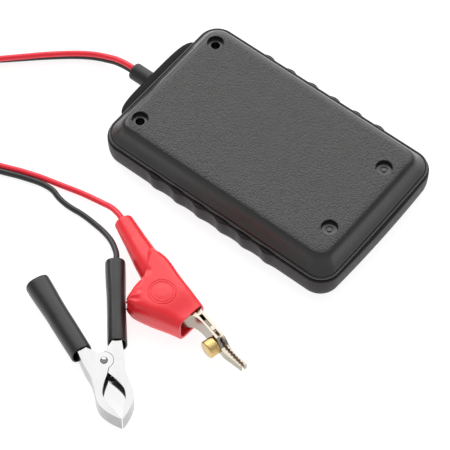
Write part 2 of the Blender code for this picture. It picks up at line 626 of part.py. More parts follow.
def sleeve(name, side, halves, holder=None):
    """A dipped grip: an oval tube over the tang, closed at its free end.

    halves are its half widths at the mouth, the middle and the free end.
    """
    middle_z = sum(BLACK_Z) / 2
    length = (HANDLE_END - HANDLE_START).length
    run = (HANDLE_END - HANDLE_START).normalized()
    across = Vector((run.y, -run.x))
    mouth, waist, end = halves
    stations = [(0.2, mouth, 0.0), (length * 0.5, waist, 0.0), (length - 0.7, end, 0.0), (length, end - 0.4, 0.5)]
    rings = []
    for along, half, less in stations:
        points = []
        for i in range(20):
            c, s = math.cos(2 * math.pi * i / 20), math.sin(2 * math.pi * i / 20)
            a = half * math.copysign(abs(c) ** (2 / 3), c)
            b = (SLEEVE_HEIGHT / 2 - less) * math.copysign(abs(s) ** (2 / 3), s)
            place = HANDLE_START + run * along + across * a
            points.append((place.x, place.y * side, middle_z + b))
        rings.append(points)
    grip = add(name, loft(rings), "black_pvc", BLACK_FRAME, holder)
    half = TANG_HALF + GAP
    corners = ((-4, -half), (TANG_LENGTH + GAP, -half), (TANG_LENGTH + GAP, half), (-4, half))
    cavity = [tuple(handle_point(a, b)) for a, b in corners]
    pocket = prism(flip(cavity, side), BLACK_Z[0] - GAP, BLACK_Z[1] + GAP)
    combine(grip, "DIFFERENCE", [tool(pocket, BLACK_FRAME, holder)])


def torsion_spring(name, leg_a, leg_b, coil_radius, wire, z_low, z_high, turns, frame):
    """Wire from one leg's end round the pin and out to the other leg's end."""
    angle_a, angle_b = math.atan2(leg_a[1], leg_a[0]), math.atan2(leg_b[1], leg_b[0])
    start = angle_a + math.acos(coil_radius / math.hypot(*leg_a))
    stop = angle_b - math.acos(coil_radius / math.hypot(*leg_b))
    while stop < start + 2 * math.pi * (turns - 1):
        stop += 2 * math.pi
    count = round((stop - start) / math.radians(30))
    points = [(*leg_a, z_low)]
    for i in range(count + 1):
        angle = start + (stop - start) * i / count
        z = z_low + (z_high - z_low) * i / count
        points.append((coil_radius * math.cos(angle), coil_radius * math.sin(angle), z))
    points.append((*leg_b, z_high))
    tube(name, points, wire / 2, "steel", frame)


def black_clamp():
    holder = joint_empty("black_clamp_hinge", (0, 0, sum(BLACK_Z) / 2), BLACK_FRAME)
    black_lever("black_fixed_jaw", 1, True)
    black_lever("black_moving_jaw", -1, False, holder)
    sleeve("black_fixed_grip", 1, FIXED_SLEEVE)
    sleeve("black_moving_grip", -1, MOVING_SLEEVE, holder)
    z_low, z_high = BLACK_Z
    profile = [
        (1.1, z_low - 0.9), (1.5, z_low - GAP), (RIVET_RADIUS, z_low - GAP), (RIVET_RADIUS, z_high + GAP),
        (1.5, z_high + GAP), (1.1, z_high + 0.9),
    ]
    add("black_rivet", turned(profile, sides=16), "bright_nickel", BLACK_FRAME)
    torsion_spring("black_spring", (-6.2, 7.8), (-6.2, -7.8), 2.55, 0.8, 4.0, 6.8, 4, BLACK_FRAME)


# ---- red clip ---------------------------------------------------------------------------------
def ear(start, stop, radius=3.8):
    step = -20 if stop < start else 20
    return [
        (radius * math.cos(math.radians(a)), radius * math.sin(math.radians(a)))
        for a in range(start, stop + (1 if step > 0 else -1), step)
    ]


def taper(z_range):
    """Two wedges that narrow a jaw's nose from above and below."""
    wedges = []
    for edge, tip, far in ((z_range[0], 5.6, -4.0), (z_range[1], 10.4, 20.0)):
        profile = [(30.0, edge), (46.0, tip), (46.0, far), (30.0, far)]
        wedges.append(tool(loft([[(x, y, z) for x, z in profile] for y in (-6.0, 12.0)]), RED_FRAME))
    return wedges


def red_clip():
    holder = joint_empty("red_clip_hinge", (0, 0, 8.0), RED_FRAME)
    low, high = FAR_Z
    far = [*FAR_OUTER, *FAR_INNER, *ear(180, 360), *FAR_EDGE]
    fixed = add("red_fixed_jaw", prism(far, low, high), "gold_nickel", RED_FRAME)
    edge = [p for p in shifted(FAR_OUTER, RED_SHEET) if p[0] < 32.0]
    inside = [*edge, (-16.0, edge[-1][1]), (-16.0, -12.0), (edge[0][0], -12.0)]
    cuts = [tool(prism(inside, low + RED_SHEET, high - RED_SHEET), RED_FRAME)]
    cuts += [*taper(FAR_Z), tool(rod(PIN_RADIUS + GAP, -2, 20, sides=16), RED_FRAME)]
    combine(fixed, "DIFFERENCE", cuts)

    low, high = NEAR_Z
    near = [*NEAR_OUTER, *NEAR_INNER, *ear(200, 60), *NEAR_EDGE]
    moving = add("red_moving_jaw", prism(near, low, high), "gold_nickel", RED_FRAME, holder)
    edge = [p for p in shifted(NEAR_OUTER, -RED_SHEET) if p[0] < 32.0]
    inside = [*edge, (-12.0, edge[-1][1]), (-12.0, 14.0), (edge[0][0], 14.0)]
    cuts = [tool(prism(inside, low + RED_SHEET, high - RED_SHEET), RED_FRAME)]
    cuts += [*taper(NEAR_Z), tool(rod(PIN_RADIUS + GAP, -2, 20, sides=16), RED_FRAME)]
    combine(moving, "DIFFERENCE", cuts)

    pin = [(1.9, 2.1), (1.9, 2.7), (PIN_RADIUS, 2.7), (PIN_RADIUS, 13.3), (1.9, 13.3), (1.9, 13.9)]
    add("red_pivot_pin", turned(pin, sides=16), "steel", RED_FRAME)
    torsion_spring("red_spring", (-10.5, 3.6), (-4.6, -10.6), 2.1, 0.8, 6.4, 9.6, 4, RED_FRAME)

    along, radius, length = STUD
    out = Matrix.Translation((along, NEAR_OUTER[4][1] - GAP, 8.0)) @ Matrix.Rotation(math.pi / 2, 4, "X")
    stud = [(radius - 0.3, 0.0), (radius, 0.3), (radius, length - 0.4), (radius - 0.4, length)]
    add("red_brass_stud", turned(stud, out, 24), "brass", RED_FRAME, holder)


def red_boot():
    def rounded(line, section):
        outline = [line[0], *(tuple(p) for p in through(line[1:-1], 3.0)), line[-1]]
        return loft([[(x, y, z) for x, y in inset_outline(outline, inset)] for z, inset in section])

    boot = add("red_boot", rounded(BOOT_OUTLINE, BOOT_SECTION), "red_pvc", RED_FRAME)
    (x0, y0, z0, r0), (x1, y1, z1, r1) = NECK
    start, stop = Vector((x0, y0, z0)), Vector((x1, y1, z1))
    turn = (stop - start).to_track_quat("Z", "Y").to_matrix().to_4x4()
    length = (stop - start).length
    profile = [(r0 - 0.7, 0.0), (r0, 0.7), (r0 + 0.7, length * 0.35), (r1 - 0.3, length * 0.7), (r1, length)]
    neck = tool(turned(profile, Matrix.Translation(start) @ turn, 20), RED_FRAME)
    combine(boot, "UNION", [neck])
    (ax, ay), (bx, by) = MOUTH
    side = Vector((bx - ax, by - ay)).normalized()
    front = [(ax - side.x * 6, ay - side.y * 6), (bx + side.x * 6, by + side.y * 6), (40.0, -20.0), (40.0, 20.0)]
    cavity = tool(rounded(CAVITY_OUTLINE, CAVITY_SECTION), RED_FRAME)
    combine(boot, "DIFFERENCE", [tool(prism(front, -3.0, 20.0), RED_FRAME), cavity])


def main():
    for old in list(bpy.data.objects):
        bpy.data.objects.remove(old)
    front_shell()
    rear_cover()
    cable_gland()
    case_screws()
    display()
    keys()
    board()
    lead()
    black_clamp()
    red_clip()
    red_boot()
    for obj in bpy.data.objects:
        if obj.type == "MESH":
            obj.data.shade_smooth()
            obj.data.set_sharp_from_angle(angle=math.radians(32))


main()
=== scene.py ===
"""Looks of the battery tester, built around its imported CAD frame.  Shapes are in millimetres until made."""

import json
import math

import bmesh
import bpy
from mathutils import Matrix, Vector
from mathutils.bvhtree import BVHTree


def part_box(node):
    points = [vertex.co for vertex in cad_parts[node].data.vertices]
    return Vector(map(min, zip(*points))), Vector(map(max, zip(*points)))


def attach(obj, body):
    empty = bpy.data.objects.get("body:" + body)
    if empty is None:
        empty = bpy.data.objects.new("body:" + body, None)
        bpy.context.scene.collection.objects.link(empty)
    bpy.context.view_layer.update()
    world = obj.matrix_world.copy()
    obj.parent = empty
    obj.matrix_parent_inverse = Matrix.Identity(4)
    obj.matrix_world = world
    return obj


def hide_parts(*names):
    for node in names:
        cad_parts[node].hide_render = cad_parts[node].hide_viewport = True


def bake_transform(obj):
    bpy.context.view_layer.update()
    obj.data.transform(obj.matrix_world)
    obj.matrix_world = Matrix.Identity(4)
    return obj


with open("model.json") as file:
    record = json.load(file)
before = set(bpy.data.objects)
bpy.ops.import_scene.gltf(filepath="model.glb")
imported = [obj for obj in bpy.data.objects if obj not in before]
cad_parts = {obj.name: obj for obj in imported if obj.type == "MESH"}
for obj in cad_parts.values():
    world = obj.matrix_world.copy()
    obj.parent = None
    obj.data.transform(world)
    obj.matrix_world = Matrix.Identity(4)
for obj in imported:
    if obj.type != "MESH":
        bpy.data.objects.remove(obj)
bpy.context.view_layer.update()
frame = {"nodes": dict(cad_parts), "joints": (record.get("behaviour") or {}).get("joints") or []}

MM = 0.001
ROOT = "tester"
joints = {joint["name"]: joint for joint in frame["joints"]}


def middle(node):
    low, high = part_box(node)
    return (low + high) / 2 / MM


def frame_at(joint, degrees):
    """The frame of a clip: its pivot is the origin and +X points to its tip."""
    x, y, _ = joints[joint]["pos_m"]
    return Matrix.Translation((x / MM, y / MM, 0)) @ Matrix.Rotation(math.radians(degrees), 4, "Z")


CASE_X = middle("face_overlay").x
CASE = Matrix.Translation((CASE_X, 0, 0))
BLACK = frame_at("black_clamp_hinge", -35.0)
RED = frame_at("red_clip_hinge", -14.5)


# ---- camera and light -------------------------------------------------------------------------
LENS = 190.77
SENSOR_WIDTH = 36.0
ELEVATION, AZIMUTH = 57.71, 38.54
DISTANCE = 1034.0
TARGET = (CASE_X + 4.33, -35.23, 0)


def camera():
    """A long lens from above the free end's near corner."""
    elevation, azimuth = math.radians(ELEVATION), math.radians(AZIMUTH)
    back = Vector((
        math.sin(azimuth) * math.cos(elevation),
        -math.cos(azimuth) * math.cos(elevation),
        math.sin(elevation),
    ))
    data = bpy.data.cameras.new("camera")
    data.sensor_width = SENSOR_WIDTH
    data.lens = LENS
    made = bpy.data.objects.new("camera", data)
    bpy.context.scene.collection.objects.link(made)
    made.location = (Vector(TARGET) + back * DISTANCE) * MM
    made.rotation_euler = back.to_track_quat("Z", "Y").to_euler()
    bpy.context.scene.camera = made


SKY = 2.65
LAMP_FROM = (-0.80, 0.10, 0.60)
SKY_FROM = (-0.42, 0.66, 0.62)
SKY_STOPS = [(0.0, 0.24), (0.40, 0.11), (0.62, 0.15), (0.84, 0.55), (0.96, 1.05), (1.0, 1.35)]
SOFTBOX = 2.2
FLOOR_GLOW = 0.84
LAMP_SIDE, LAMP_AWAY = 0.35, 1.3
FLOOR_HALF = 3.0
FLOOR_DROP = 0.1


def studio():
    """A broad soft sky beyond the object, one small lamp, a dim room around it, and a pale floor."""
    world = bpy.data.worlds.new("studio")
    bpy.context.scene.world = world
    world.use_nodes = True
    tree = world.node_tree
    tree.nodes.clear()
    where = tree.nodes.new("ShaderNodeTexCoord")
    toward = tree.nodes.new("ShaderNodeVectorMath")
    toward.operation = "DOT_PRODUCT"
    toward.inputs[1].default_value = Vector(SKY_FROM).normalized()
    ramp = tree.nodes.new("ShaderNodeValToRGB")
    ramp.color_ramp.interpolation = "B_SPLINE"
    sky = tree.nodes.new("ShaderNodeBackground")
    out = tree.nodes.new("ShaderNodeOutputWorld")
    while len(ramp.color_ramp.elements) < len(SKY_STOPS):
        ramp.color_ramp.elements.new(0.5)
    for element, (place, level) in zip(ramp.color_ramp.elements, SKY_STOPS):
        element.position = place
        element.color = (level, level, level, 1)
    sky.inputs["Strength"].default_value = SKY
    tree.links.new(where.outputs["Generated"], toward.inputs[0])
    tree.links.new(toward.outputs["Value"], ramp.inputs["Fac"])
    tree.links.new(ramp.outputs["Color"], sky.inputs["Color"])
    tree.links.new(sky.outputs[0], out.inputs[0])

    bm = bmesh.new()
    bmesh.ops.create_grid(bm, x_segments=1, y_segments=1, size=FLOOR_HALF)
    mesh = bpy.data.meshes.new("floor")
    bm.to_mesh(mesh)
    bm.free()
    glow = [("Emission Color", (1.0, 1.0, 1.0, 1.0)), ("Emission Strength", FLOOR_GLOW)]
    paper = surface("floor_paper", (0.36, 0.36, 0.36), 0.9, mottle=0.01, patch=3.0, sockets=glow)
    mesh.materials.append(paper)
    floor = bpy.data.objects.new("floor", mesh)
    bpy.context.scene.collection.objects.link(floor)
    floor.location.z = -FLOOR_DROP * MM

    box = bpy.data.lights.new("softbox", "AREA")
    box.shape = "RECTANGLE"
    box.size, box.size_y = LAMP_SIDE, LAMP_SIDE
    box.energy = SOFTBOX
    lamp = bpy.data.objects.new("softbox", box)
    bpy.context.scene.collection.objects.link(lamp)
    aim = Vector(LAMP_FROM).normalized()
    lamp.location = aim * LAMP_AWAY
    lamp.rotation_euler = aim.to_track_quat("Z", "Y").to_euler()
    bpy.context.scene.view_settings.view_transform = "Standard"


# ---- materials ----------------------------------------------------------------------------------
def mixed(tree, factor, low, high):
    """Two colours mixed by a factor socket."""
    mix = tree.nodes.new("ShaderNodeMix")
    mix.data_type = "RGBA"
    for socket, value in ((mix.inputs[6], low), (mix.inputs[7], high)):
        if isinstance(value, bpy.types.NodeSocket):
            tree.links.new(value, socket)
        else:
            socket.default_value = (*value, 1)
    tree.links.new(factor, mix.inputs[0])
    return mix.outputs[2]


def ranged(tree, value, low, high, to_low, to_high):
    """A value moved from one range to another, and held at its ends."""
    node = tree.nodes.new("ShaderNodeMapRange")
    node.inputs["From Min"].default_value = low
    node.inputs["From Max"].default_value = high
    node.inputs["To Min"].default_value = to_low
    node.inputs["To Max"].default_value = to_high
    tree.links.new(value, node.inputs["Value"])
    return node.outputs["Result"]


def texture(tree, kind, where, per_metre, detail=3.0):
    if kind == "noise":
        node = tree.nodes.new("ShaderNodeTexNoise")
        node.inputs["Detail"].default_value = detail
        result = node.outputs["Fac"]
    else:
        node = tree.nodes.new("ShaderNodeTexVoronoi")
        if kind == "creases":
            node.feature = "DISTANCE_TO_EDGE"
        result = node.outputs["Distance"]
    node.inputs["Scale"].default_value = per_metre
    tree.links.new(where, node.inputs["Vector"])
    return ranged(tree, result, 0.0, 0.35, 0.0, 1.0) if kind == "creases" else result


def surface(name, colour, roughness, metallic=0.0, mottle=0.1, patch=150.0, bumps=(), uneven=0.05,
            stretch=None, turn=0.0, sockets=(), field=None):
    """A Principled material whose colour and roughness vary over the surface.

    bumps are (kind, per metre, height in mm); stretch lengthens the pattern along turned axes; field is
    (low z, high z, colour, roughness, bumps) for what lies above those heights.
    """
    made = bpy.data.materials.new(name)
    made.use_nodes = True
    tree = made.node_tree
    shader = tree.nodes["Principled BSDF"]
    shader.inputs["Metallic"].default_value = metallic
    for socket, value in sockets:
        shader.inputs[socket].default_value = value
    where = tree.nodes.new("ShaderNodeTexCoord").outputs["Object"]
    flat = where
    if stretch:
        turned_axes = tree.nodes.new("ShaderNodeMapping")
        turned_axes.vector_type = "TEXTURE"
        turned_axes.inputs["Rotation"].default_value = (0, 0, math.radians(turn))
        turned_axes.inputs["Scale"].default_value = stretch
        tree.links.new(where, turned_axes.inputs["Vector"])
        where = turned_axes.outputs[0]
    cloud = texture(tree, "noise", where, patch)
    factor = ranged(tree, cloud, 0.3, 0.7, 0.0, 1.0)
    dark = [c * (1 - mottle) for c in colour]
    light = [min(1.0, c * (1 + mottle)) for c in colour]
    paint = mixed(tree, factor, dark, light)
    rough = ranged(tree, cloud, 0.3, 0.7, roughness - uneven, roughness + uneven)
    normal = None

    def bump(spec, strength):
        nonlocal normal
        kind, per_metre, height = spec
        node = tree.nodes.new("ShaderNodeBump")
        node.inputs["Distance"].default_value = height * MM
        tree.links.new(texture(tree, kind, where, per_metre), node.inputs["Height"])
        if strength:
            tree.links.new(strength, node.inputs["Strength"])
        else:
            node.inputs["Strength"].default_value = 1.0
        if normal:
            tree.links.new(normal, node.inputs["Normal"])
        normal = node.outputs[0]

    for spec in bumps:
        bump(spec, None)
    if field:
        low, high, field_colour, field_roughness, field_bumps = field
        split = tree.nodes.new("ShaderNodeSeparateXYZ")
        tree.links.new(flat, split.inputs[0])
        mask = ranged(tree, split.outputs["Z"], low * MM, high * MM, 0.0, 1.0)
        shades = [[c * k for c in field_colour] for k in (0.88, 1.12)]
        paint = mixed(tree, mask, paint, mixed(tree, factor, *shades))
        both = tree.nodes.new("ShaderNodeMix")
        tree.links.new(mask, both.inputs[0])
        tree.links.new(rough, both.inputs[2])
        field_rough = ranged(tree, cloud, 0.3, 0.7, field_roughness - 0.04, field_roughness + 0.04)
        tree.links.new(field_rough, both.inputs[3])
        rough = both.outputs[0]
        for spec in field_bumps:
            bump(spec, mask)
    tree.links.new(paint, shader.inputs["Base Color"])
    tree.links.new(rough, shader.inputs["Roughness"])
    if normal:
        tree.links.new(normal, shader.inputs["Normal"])
    return made


def palette():
    fine = ("noise", 2600.0, 0.02)
    metal = {"mottle": 0.05, "patch": 260.0, "uneven": 0.04}
    return {
        # The cover's top above z 21.3 has its own grain and roughness. Its lighter colour is painted light: the
        # same black plastic painted lighter for the sheen the top catches from above.
        "cover": surface(
            "cover", (0.011, 0.011, 0.011), 0.28, mottle=0.12, bumps=[("noise", 1500.0, 0.012)],
            field=(21.3, 21.93, (0.021, 0.0203, 0.0195), 0.40,
                   [("creases", 800.0, 0.10), ("noise", 1150.0, 0.48), ("noise", 2500.0, 0.20)]),
            sockets=[("Specular IOR Level", 0.74)],
        ),
        "case": surface(
            "case", (0.017, 0.0135, 0.016), 0.46, mottle=0.25, patch=500.0,
            bumps=[("noise", 1300.0, 0.06), ("noise", 3200.0, 0.04)], sockets=[("Specular IOR Level", 0.22)],
        ),
        # The brow is the front shell's plastic in a darker colour than the case: painted shade for its top,
        # which faces away from the light.
        "brow": surface(
            "brow", (0.006, 0.006, 0.0055), 0.45, bumps=[("noise", 1300.0, 0.06), fine],
            sockets=[("Specular IOR Level", 0.1)],
        ),
        "gland": surface("gland", (0.011, 0.011, 0.0107), 0.45, bumps=[("noise", 1500.0, 0.03)]),
        "red_pvc": surface(
            "red_pvc", (1.0, 0.024, 0.036), 0.36, mottle=0.05, patch=90.0,
            bumps=[("noise", 260.0, 0.05), fine],
            sockets=[("Subsurface Weight", 0.12), ("Subsurface Scale", 0.002), ("Coat Weight", 0.15),
                     ("Coat Roughness", 0.3)],
        ),
        "red_wire": surface(
            "red_wire", (1.0, 0.02, 0.045), 0.34, mottle=0.06, bumps=[("noise", 900.0, 0.03)],
        ),
        "black_wire": surface("black_wire", (0.018, 0.018, 0.018), 0.36, bumps=[("noise", 900.0, 0.03)]),
        "black_pvc": surface(
            "black_pvc", (0.016, 0.016, 0.016), 0.36, mottle=0.15, patch=200.0,
            bumps=[("noise", 300.0, 0.06), ("noise", 2200.0, 0.02)],
        ),
        "nickel": surface(
            "nickel", (0.42, 0.42, 0.42), 0.2, 1.0, bumps=[("noise", 900.0, 0.012)],
            stretch=(3.0, 1.0, 1.0), turn=-35.0, **metal,
        ),
        # Darker nickel, painted shade: it stands for the shade inside the black jaws' hollow channel, where the
        # plates hide the light.
        "painted_channel_shade": surface("painted_channel_shade", (0.30, 0.30, 0.30), 0.5, 1.0, bumps=[("noise", 900.0, 0.02)], **metal),
        # Darker jaw metal, painted shade: for the red jaws' faces between the jaws and a dark line along the
        # rolled edge.
        "painted_jaw_shade": surface(
            "painted_jaw_shade", (0.24, 0.15, 0.085), 0.42, 1.0, bumps=[("noise", 900.0, 0.04)], **metal,
        ),
        "gold": surface(
            "gold", (0.44, 0.40, 0.335), 0.22, 1.0, bumps=[("noise", 700.0, 0.02)],
            stretch=(4.0, 1.0, 1.0), turn=-14.5, **metal,
        ),
        "brass": surface(
            "brass", (0.70, 0.50, 0.21), 0.24, 1.0, bumps=[("noise", 3000.0, 0.02)],
            stretch=(1.0, 8.0, 1.0), turn=-14.5, **metal,
        ),
        "steel": surface("steel", (0.58, 0.58, 0.59), 0.3, 1.0, bumps=[("noise", 1500.0, 0.01)], **metal),
        "film": surface("film", (0.035, 0.05, 0.075), 0.42, bumps=[("noise", 4000.0, 0.01)]),
        "print": surface("print", (0.62, 0.64, 0.66), 0.5, bumps=[("noise", 4000.0, 0.01)]),
        "keys": surface("keys", (0.16, 0.17, 0.19), 0.55, bumps=[("noise", 2000.0, 0.03)]),
        "window": surface(
            "window", (0.92, 0.95, 0.95), 0.06, mottle=0.01, uneven=0.01,
            sockets=[("Transmission Weight", 1.0), ("IOR", 1.49)],
        ),
        "lcd": surface("lcd", (0.40, 0.47, 0.38), 0.16, mottle=0.04, sockets=[("Coat Weight", 0.4)]),
        "white": surface("white", (0.78, 0.78, 0.76), 0.45, bumps=[fine]),
        "board": surface("board", (0.02, 0.15, 0.06), 0.4, mottle=0.3, bumps=[("creases", 350.0, 0.03)]),
        "chip": surface("chip", (0.02, 0.02, 0.022), 0.45, bumps=[fine]),
        "ceramic": surface("ceramic", (0.70, 0.68, 0.63), 0.7, bumps=[("noise", 1800.0, 0.06)]),
    }


# ---- shapes -------------------------------------------------------------------------------------
def made_object(name, mesh, material, body, stands_for=(), sharp=32.0):
    mesh.materials.clear()
    mesh.materials.append(material)
    mesh.shade_smooth()
    mesh.set_sharp_from_angle(angle=math.radians(sharp))
    obj = bpy.data.objects.new(name, mesh)
    bpy.context.scene.collection.objects.link(obj)
    if body:
        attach(obj, body)
    if stands_for:
        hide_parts(*stands_for)
    if body:
        normals = obj.modifiers.new("normals", "WEIGHTED_NORMAL")
        normals.keep_sharp = True
    return obj


def meshed(bm, place=CASE):
    bmesh.ops.recalc_face_normals(bm, faces=bm.faces)
    mesh = bpy.data.meshes.new("shape")
    bm.to_mesh(mesh)
    bm.free()
    mesh.transform(Matrix.Scale(MM, 4) @ place)
    return mesh


def booleans(mesh, steps):
    """The mesh after each (operation, bmesh, frame) in turn."""
    base = bpy.data.objects.new("base", mesh)
    bpy.context.scene.collection.objects.link(base)
    tools = []
    for operation, bm, place in steps:
        tool = bpy.data.objects.new("tool", meshed(bm, place))
        bpy.context.scene.collection.objects.link(tool)
        tools.append(tool)
        step = base.modifiers.new("step", "BOOLEAN")
        step.operation = operation
        step.solver = "EXACT"
        step.object = tool
    return evaluated(base, tools)


def evaluated(obj, tools=()):
    """The mesh of a helper object with its modifiers applied; the object is removed."""
    bpy.context.view_layer.update()
    mesh = bpy.data.meshes.new_from_object(obj.evaluated_get(bpy.context.evaluated_depsgraph_get()))
    for done in (obj, *tools):
        bpy.data.objects.remove(done)
    return mesh


def softened(mesh, width, segments=2, angle=35.0):
    """The mesh with its hard edges rounded over."""
    holder = bpy.data.objects.new("soft", mesh)
    bpy.context.scene.collection.objects.link(holder)
    bevel = holder.modifiers.new("bevel", "BEVEL")
    bevel.width = width * MM
    bevel.segments = segments
    bevel.limit_method = "ANGLE"
    bevel.angle_limit = math.radians(angle)
    return evaluated(holder)


def loft(rings, closed=False):
    """A closed body through rings of equally many points; closed joins the last ring to the first."""
    bm = bmesh.new()
    rows = [[bm.verts.new(p) for p in points] for points in rings]
    count = len(rows[0])
    following = rows[1:] + rows[:1] if closed else rows[1:]
    for low, high in zip(rows, following):
        for i in range(count):
            j = (i + 1) % count
            bm.faces.new((low[i], low[j], high[j], high[i]))
    if not closed:
        bm.faces.new(rows[0][::-1])
        bm.faces.new(rows[-1])
    return bm


def prism(outline, z_low, z_high):
    return loft([[(x, y, z) for x, y in outline] for z in (z_low, z_high)])


def block(size, centre):
    bm = bmesh.new()
    bmesh.ops.create_cube(bm, size=1.0, matrix=Matrix.Translation(centre) @ Matrix.Diagonal((*size, 1.0)))
    return bm


def turned(profile, turn=Matrix(), sides=64, ring=False, ripple=None):
    """A body turned about Z from (radius, z) points; ripple(index, angle) adds to the radius."""
    rings = []
    for index, (radius, z) in enumerate(profile):
        points = []
        for i in range(sides):
            a = 2 * math.pi * i / sides
            r = radius + (ripple(index, a) if ripple else 0.0)
            points.append(turn @ Vector((r * math.cos(a), r * math.sin(a), z)))
        rings.append(points)
    return loft(rings, closed=ring)


def at(x, y, z=0.0):
    return Matrix.Translation((x, y, z))


def through(points, spacing, power=0.5):
    """Evenly spaced points along a smooth curve through the given ones."""
    knots = [Vector(p) for p in points]
    ends = [2 * knots[0] - knots[1], *knots, 2 * knots[-1] - knots[-2]]
    fine = []
    for p0, p1, p2, p3 in zip(ends, ends[1:], ends[2:], ends[3:]):
        t1 = (p1 - p0).length ** power
        t2 = t1 + (p2 - p1).length ** power
        t3 = t2 + (p3 - p2).length ** power
        for step in range(12):
            t = t1 + (t2 - t1) * step / 12
            a1 = p0 * ((t1 - t) / t1) + p1 * (t / t1)
            a2 = p1 * ((t2 - t) / (t2 - t1)) + p2 * ((t - t1) / (t2 - t1))
            a3 = p2 * ((t3 - t) / (t3 - t2)) + p3 * ((t - t2) / (t3 - t2))
            b1 = a1 * ((t2 - t) / t2) + a2 * (t / t2)
            b2 = a2 * ((t3 - t) / (t3 - t1)) + a3 * ((t - t1) / (t3 - t1))
            fine.append(b1 * ((t2 - t) / (t2 - t1)) + b2 * ((t - t1) / (t2 - t1)))
    fine.append(knots[-1])
    runs = [0.0]
    for a, b in zip(fine, fine[1:]):
        runs.append(runs[-1] + (b - a).length)
    count = max(2, round(runs[-1] / spacing))
    spaced, i = [], 0
    for k in range(count + 1):
        want = runs[-1] * k / count
        while i < len(runs) - 2 and runs[i + 1] < want:
            i += 1
        share = (want - runs[i]) / (runs[i + 1] - runs[i])
        spaced.append(fine[i].lerp(fine[i + 1], min(max(share, 0.0), 1.0)))
    return spaced


def shifted(curve, distance):
    """An open line of points moved to the left of its direction."""
    moved = []
    for i, here in enumerate(curve):
        before, after = curve[max(i - 1, 0)], curve[min(i + 1, len(curve) - 1)]
        run = Vector((after[0] - before[0], after[1] - before[1])).normalized()
        moved.append((here[0] - run.y * distance, here[1] + run.x * distance))
    return moved


def inset_outline(outline, inset):
    """The counter-clockwise outline moved inwards."""
    moved = []
    for before, here, after in zip(outline[-1:] + outline[:-1], outline, outline[1:] + outline[:1]):
        one = Vector((here[0] - before[0], here[1] - before[1])).normalized()
        two = Vector((after[0] - here[0], after[1] - here[1])).normalized()
        inward = Vector((-one.y - two.y, one.x + two.x)).normalized()
        reach = inset / max(inward.dot(Vector((-one.y, one.x))), 0.6)
        moved.append((here[0] + inward.x * reach, here[1] + inward.y * reach))
    return moved


def smooth_step(value):
    value = min(max(value, 0.0), 1.0)
    return value * value * (3 - 2 * value)


# ---- lead ---------------------------------------------------------------------------------------
WIRE = 1.32  # radius of one insulated conductor
NECK_START, NECK_STOP = Vector((-45.6, 6.4, 7.0)), Vector((-12.0, 0.7, 8.0))
PAIR_HALF = 1.4
TURN_RISE = 2.66
COIL_CENTRE = (-150.8, -74.0)
COIL_RADIUS = 18.0
COIL_START = 131.8  # degrees
COIL_SWEEP = 1235.0
# Middle of the pair: x, y, z and the twist, 90 with black under red and 0 with them side by side.
FEED = [
    (-71.5, 0.0, 7.0, 90), (-76.0, 0.1, 7.0, 90), (-82.0, 0.3, 6.2, 90), (-87.4, 0.2, 4.7, 88),
    (-92.5, -0.9, 3.4, 86), (-96.9, -2.6, 2.9, 84), (-102.0, -5.8, 2.8, 82), (-107.2, -9.9, 2.8, 80),
    (-116.3, -18.0, 2.75, 76), (-121.4, -22.9, 2.7, 72), (-129.4, -30.5, 2.6, 66), (-137.0, -37.4, 2.3, 40),
    (-144.0, -43.7, 1.7, 12), (-150.6, -49.6, 1.4, 0), (-157.0, -55.4, 1.35, 0),
]
RETURN = [
    (-137.6, -88.8, 9.0, 0), (-129.6, -86.4, 7.4, 0), (-122.0, -84.1, 4.8, 0), (-114.0, -81.6, 2.6, 0),
    (-104.0, -78.6, 1.5, 0), (-90.8, -74.5, 1.4, 0), (-82.2, -71.1, 1.4, 0), (-74.0, -68.4, 1.4, 0),
]
TAILS = {
    "red": [
        (-64.5, -64.6, 1.4), (-54.3, -62.2, 1.6), (-44.0, -61.3, 3.2), (-36.0, -61.8, 5.8),
        (-29.0, -64.1, 7.0),
    ],
    "black": [
        (-66.1, -68.7, 1.4), (-59.1, -70.4, 1.4), (-53.0, -70.7, 1.4), (-47.1, -70.3, 1.4),
        (-40.5, -70.7, 1.6), (-33.4, -71.8, 2.4), (-25.9, -74.7, 4.2), (-19.2, -79.9, 5.4),
    ],
}


def coil():
    """Knots of the wound stretch: each turn lies flat, and climbs onto the one before at its end."""
    knots = []
    steps = round(COIL_SWEEP / 15)
    for i in range(steps + 1):
        done = COIL_SWEEP * i / steps
        turns, part = divmod(done, 360.0)
        rise = TURN_RISE * (turns + smooth_step((part - 290.0) / 70.0))
        angle = math.radians(COIL_START + done)
        x = COIL_CENTRE[0] + COIL_RADIUS * math.cos(angle)
        y = COIL_CENTRE[1] + COIL_RADIUS * math.sin(angle)
        knots.append((x, y, 1.35 + rise, 0.0))
    return knots


def inside_clip(name):
    """The end of a conductor inside its clip, in the case's frame."""
    if name == "red":
        places, frame_there = [NECK_START, NECK_START.lerp(NECK_STOP, 0.5), Vector((-14.5, 1.6, 7.9))], RED
    else:
        places = [Vector((*handle_point(along, -0.4), 5.4)) for along in (38.0, 30.0, 22.0, 14.0)]
        frame_there = BLACK
    to_case = CASE.inverted() @ frame_there
    return [tuple(to_case @ place) for place in places]


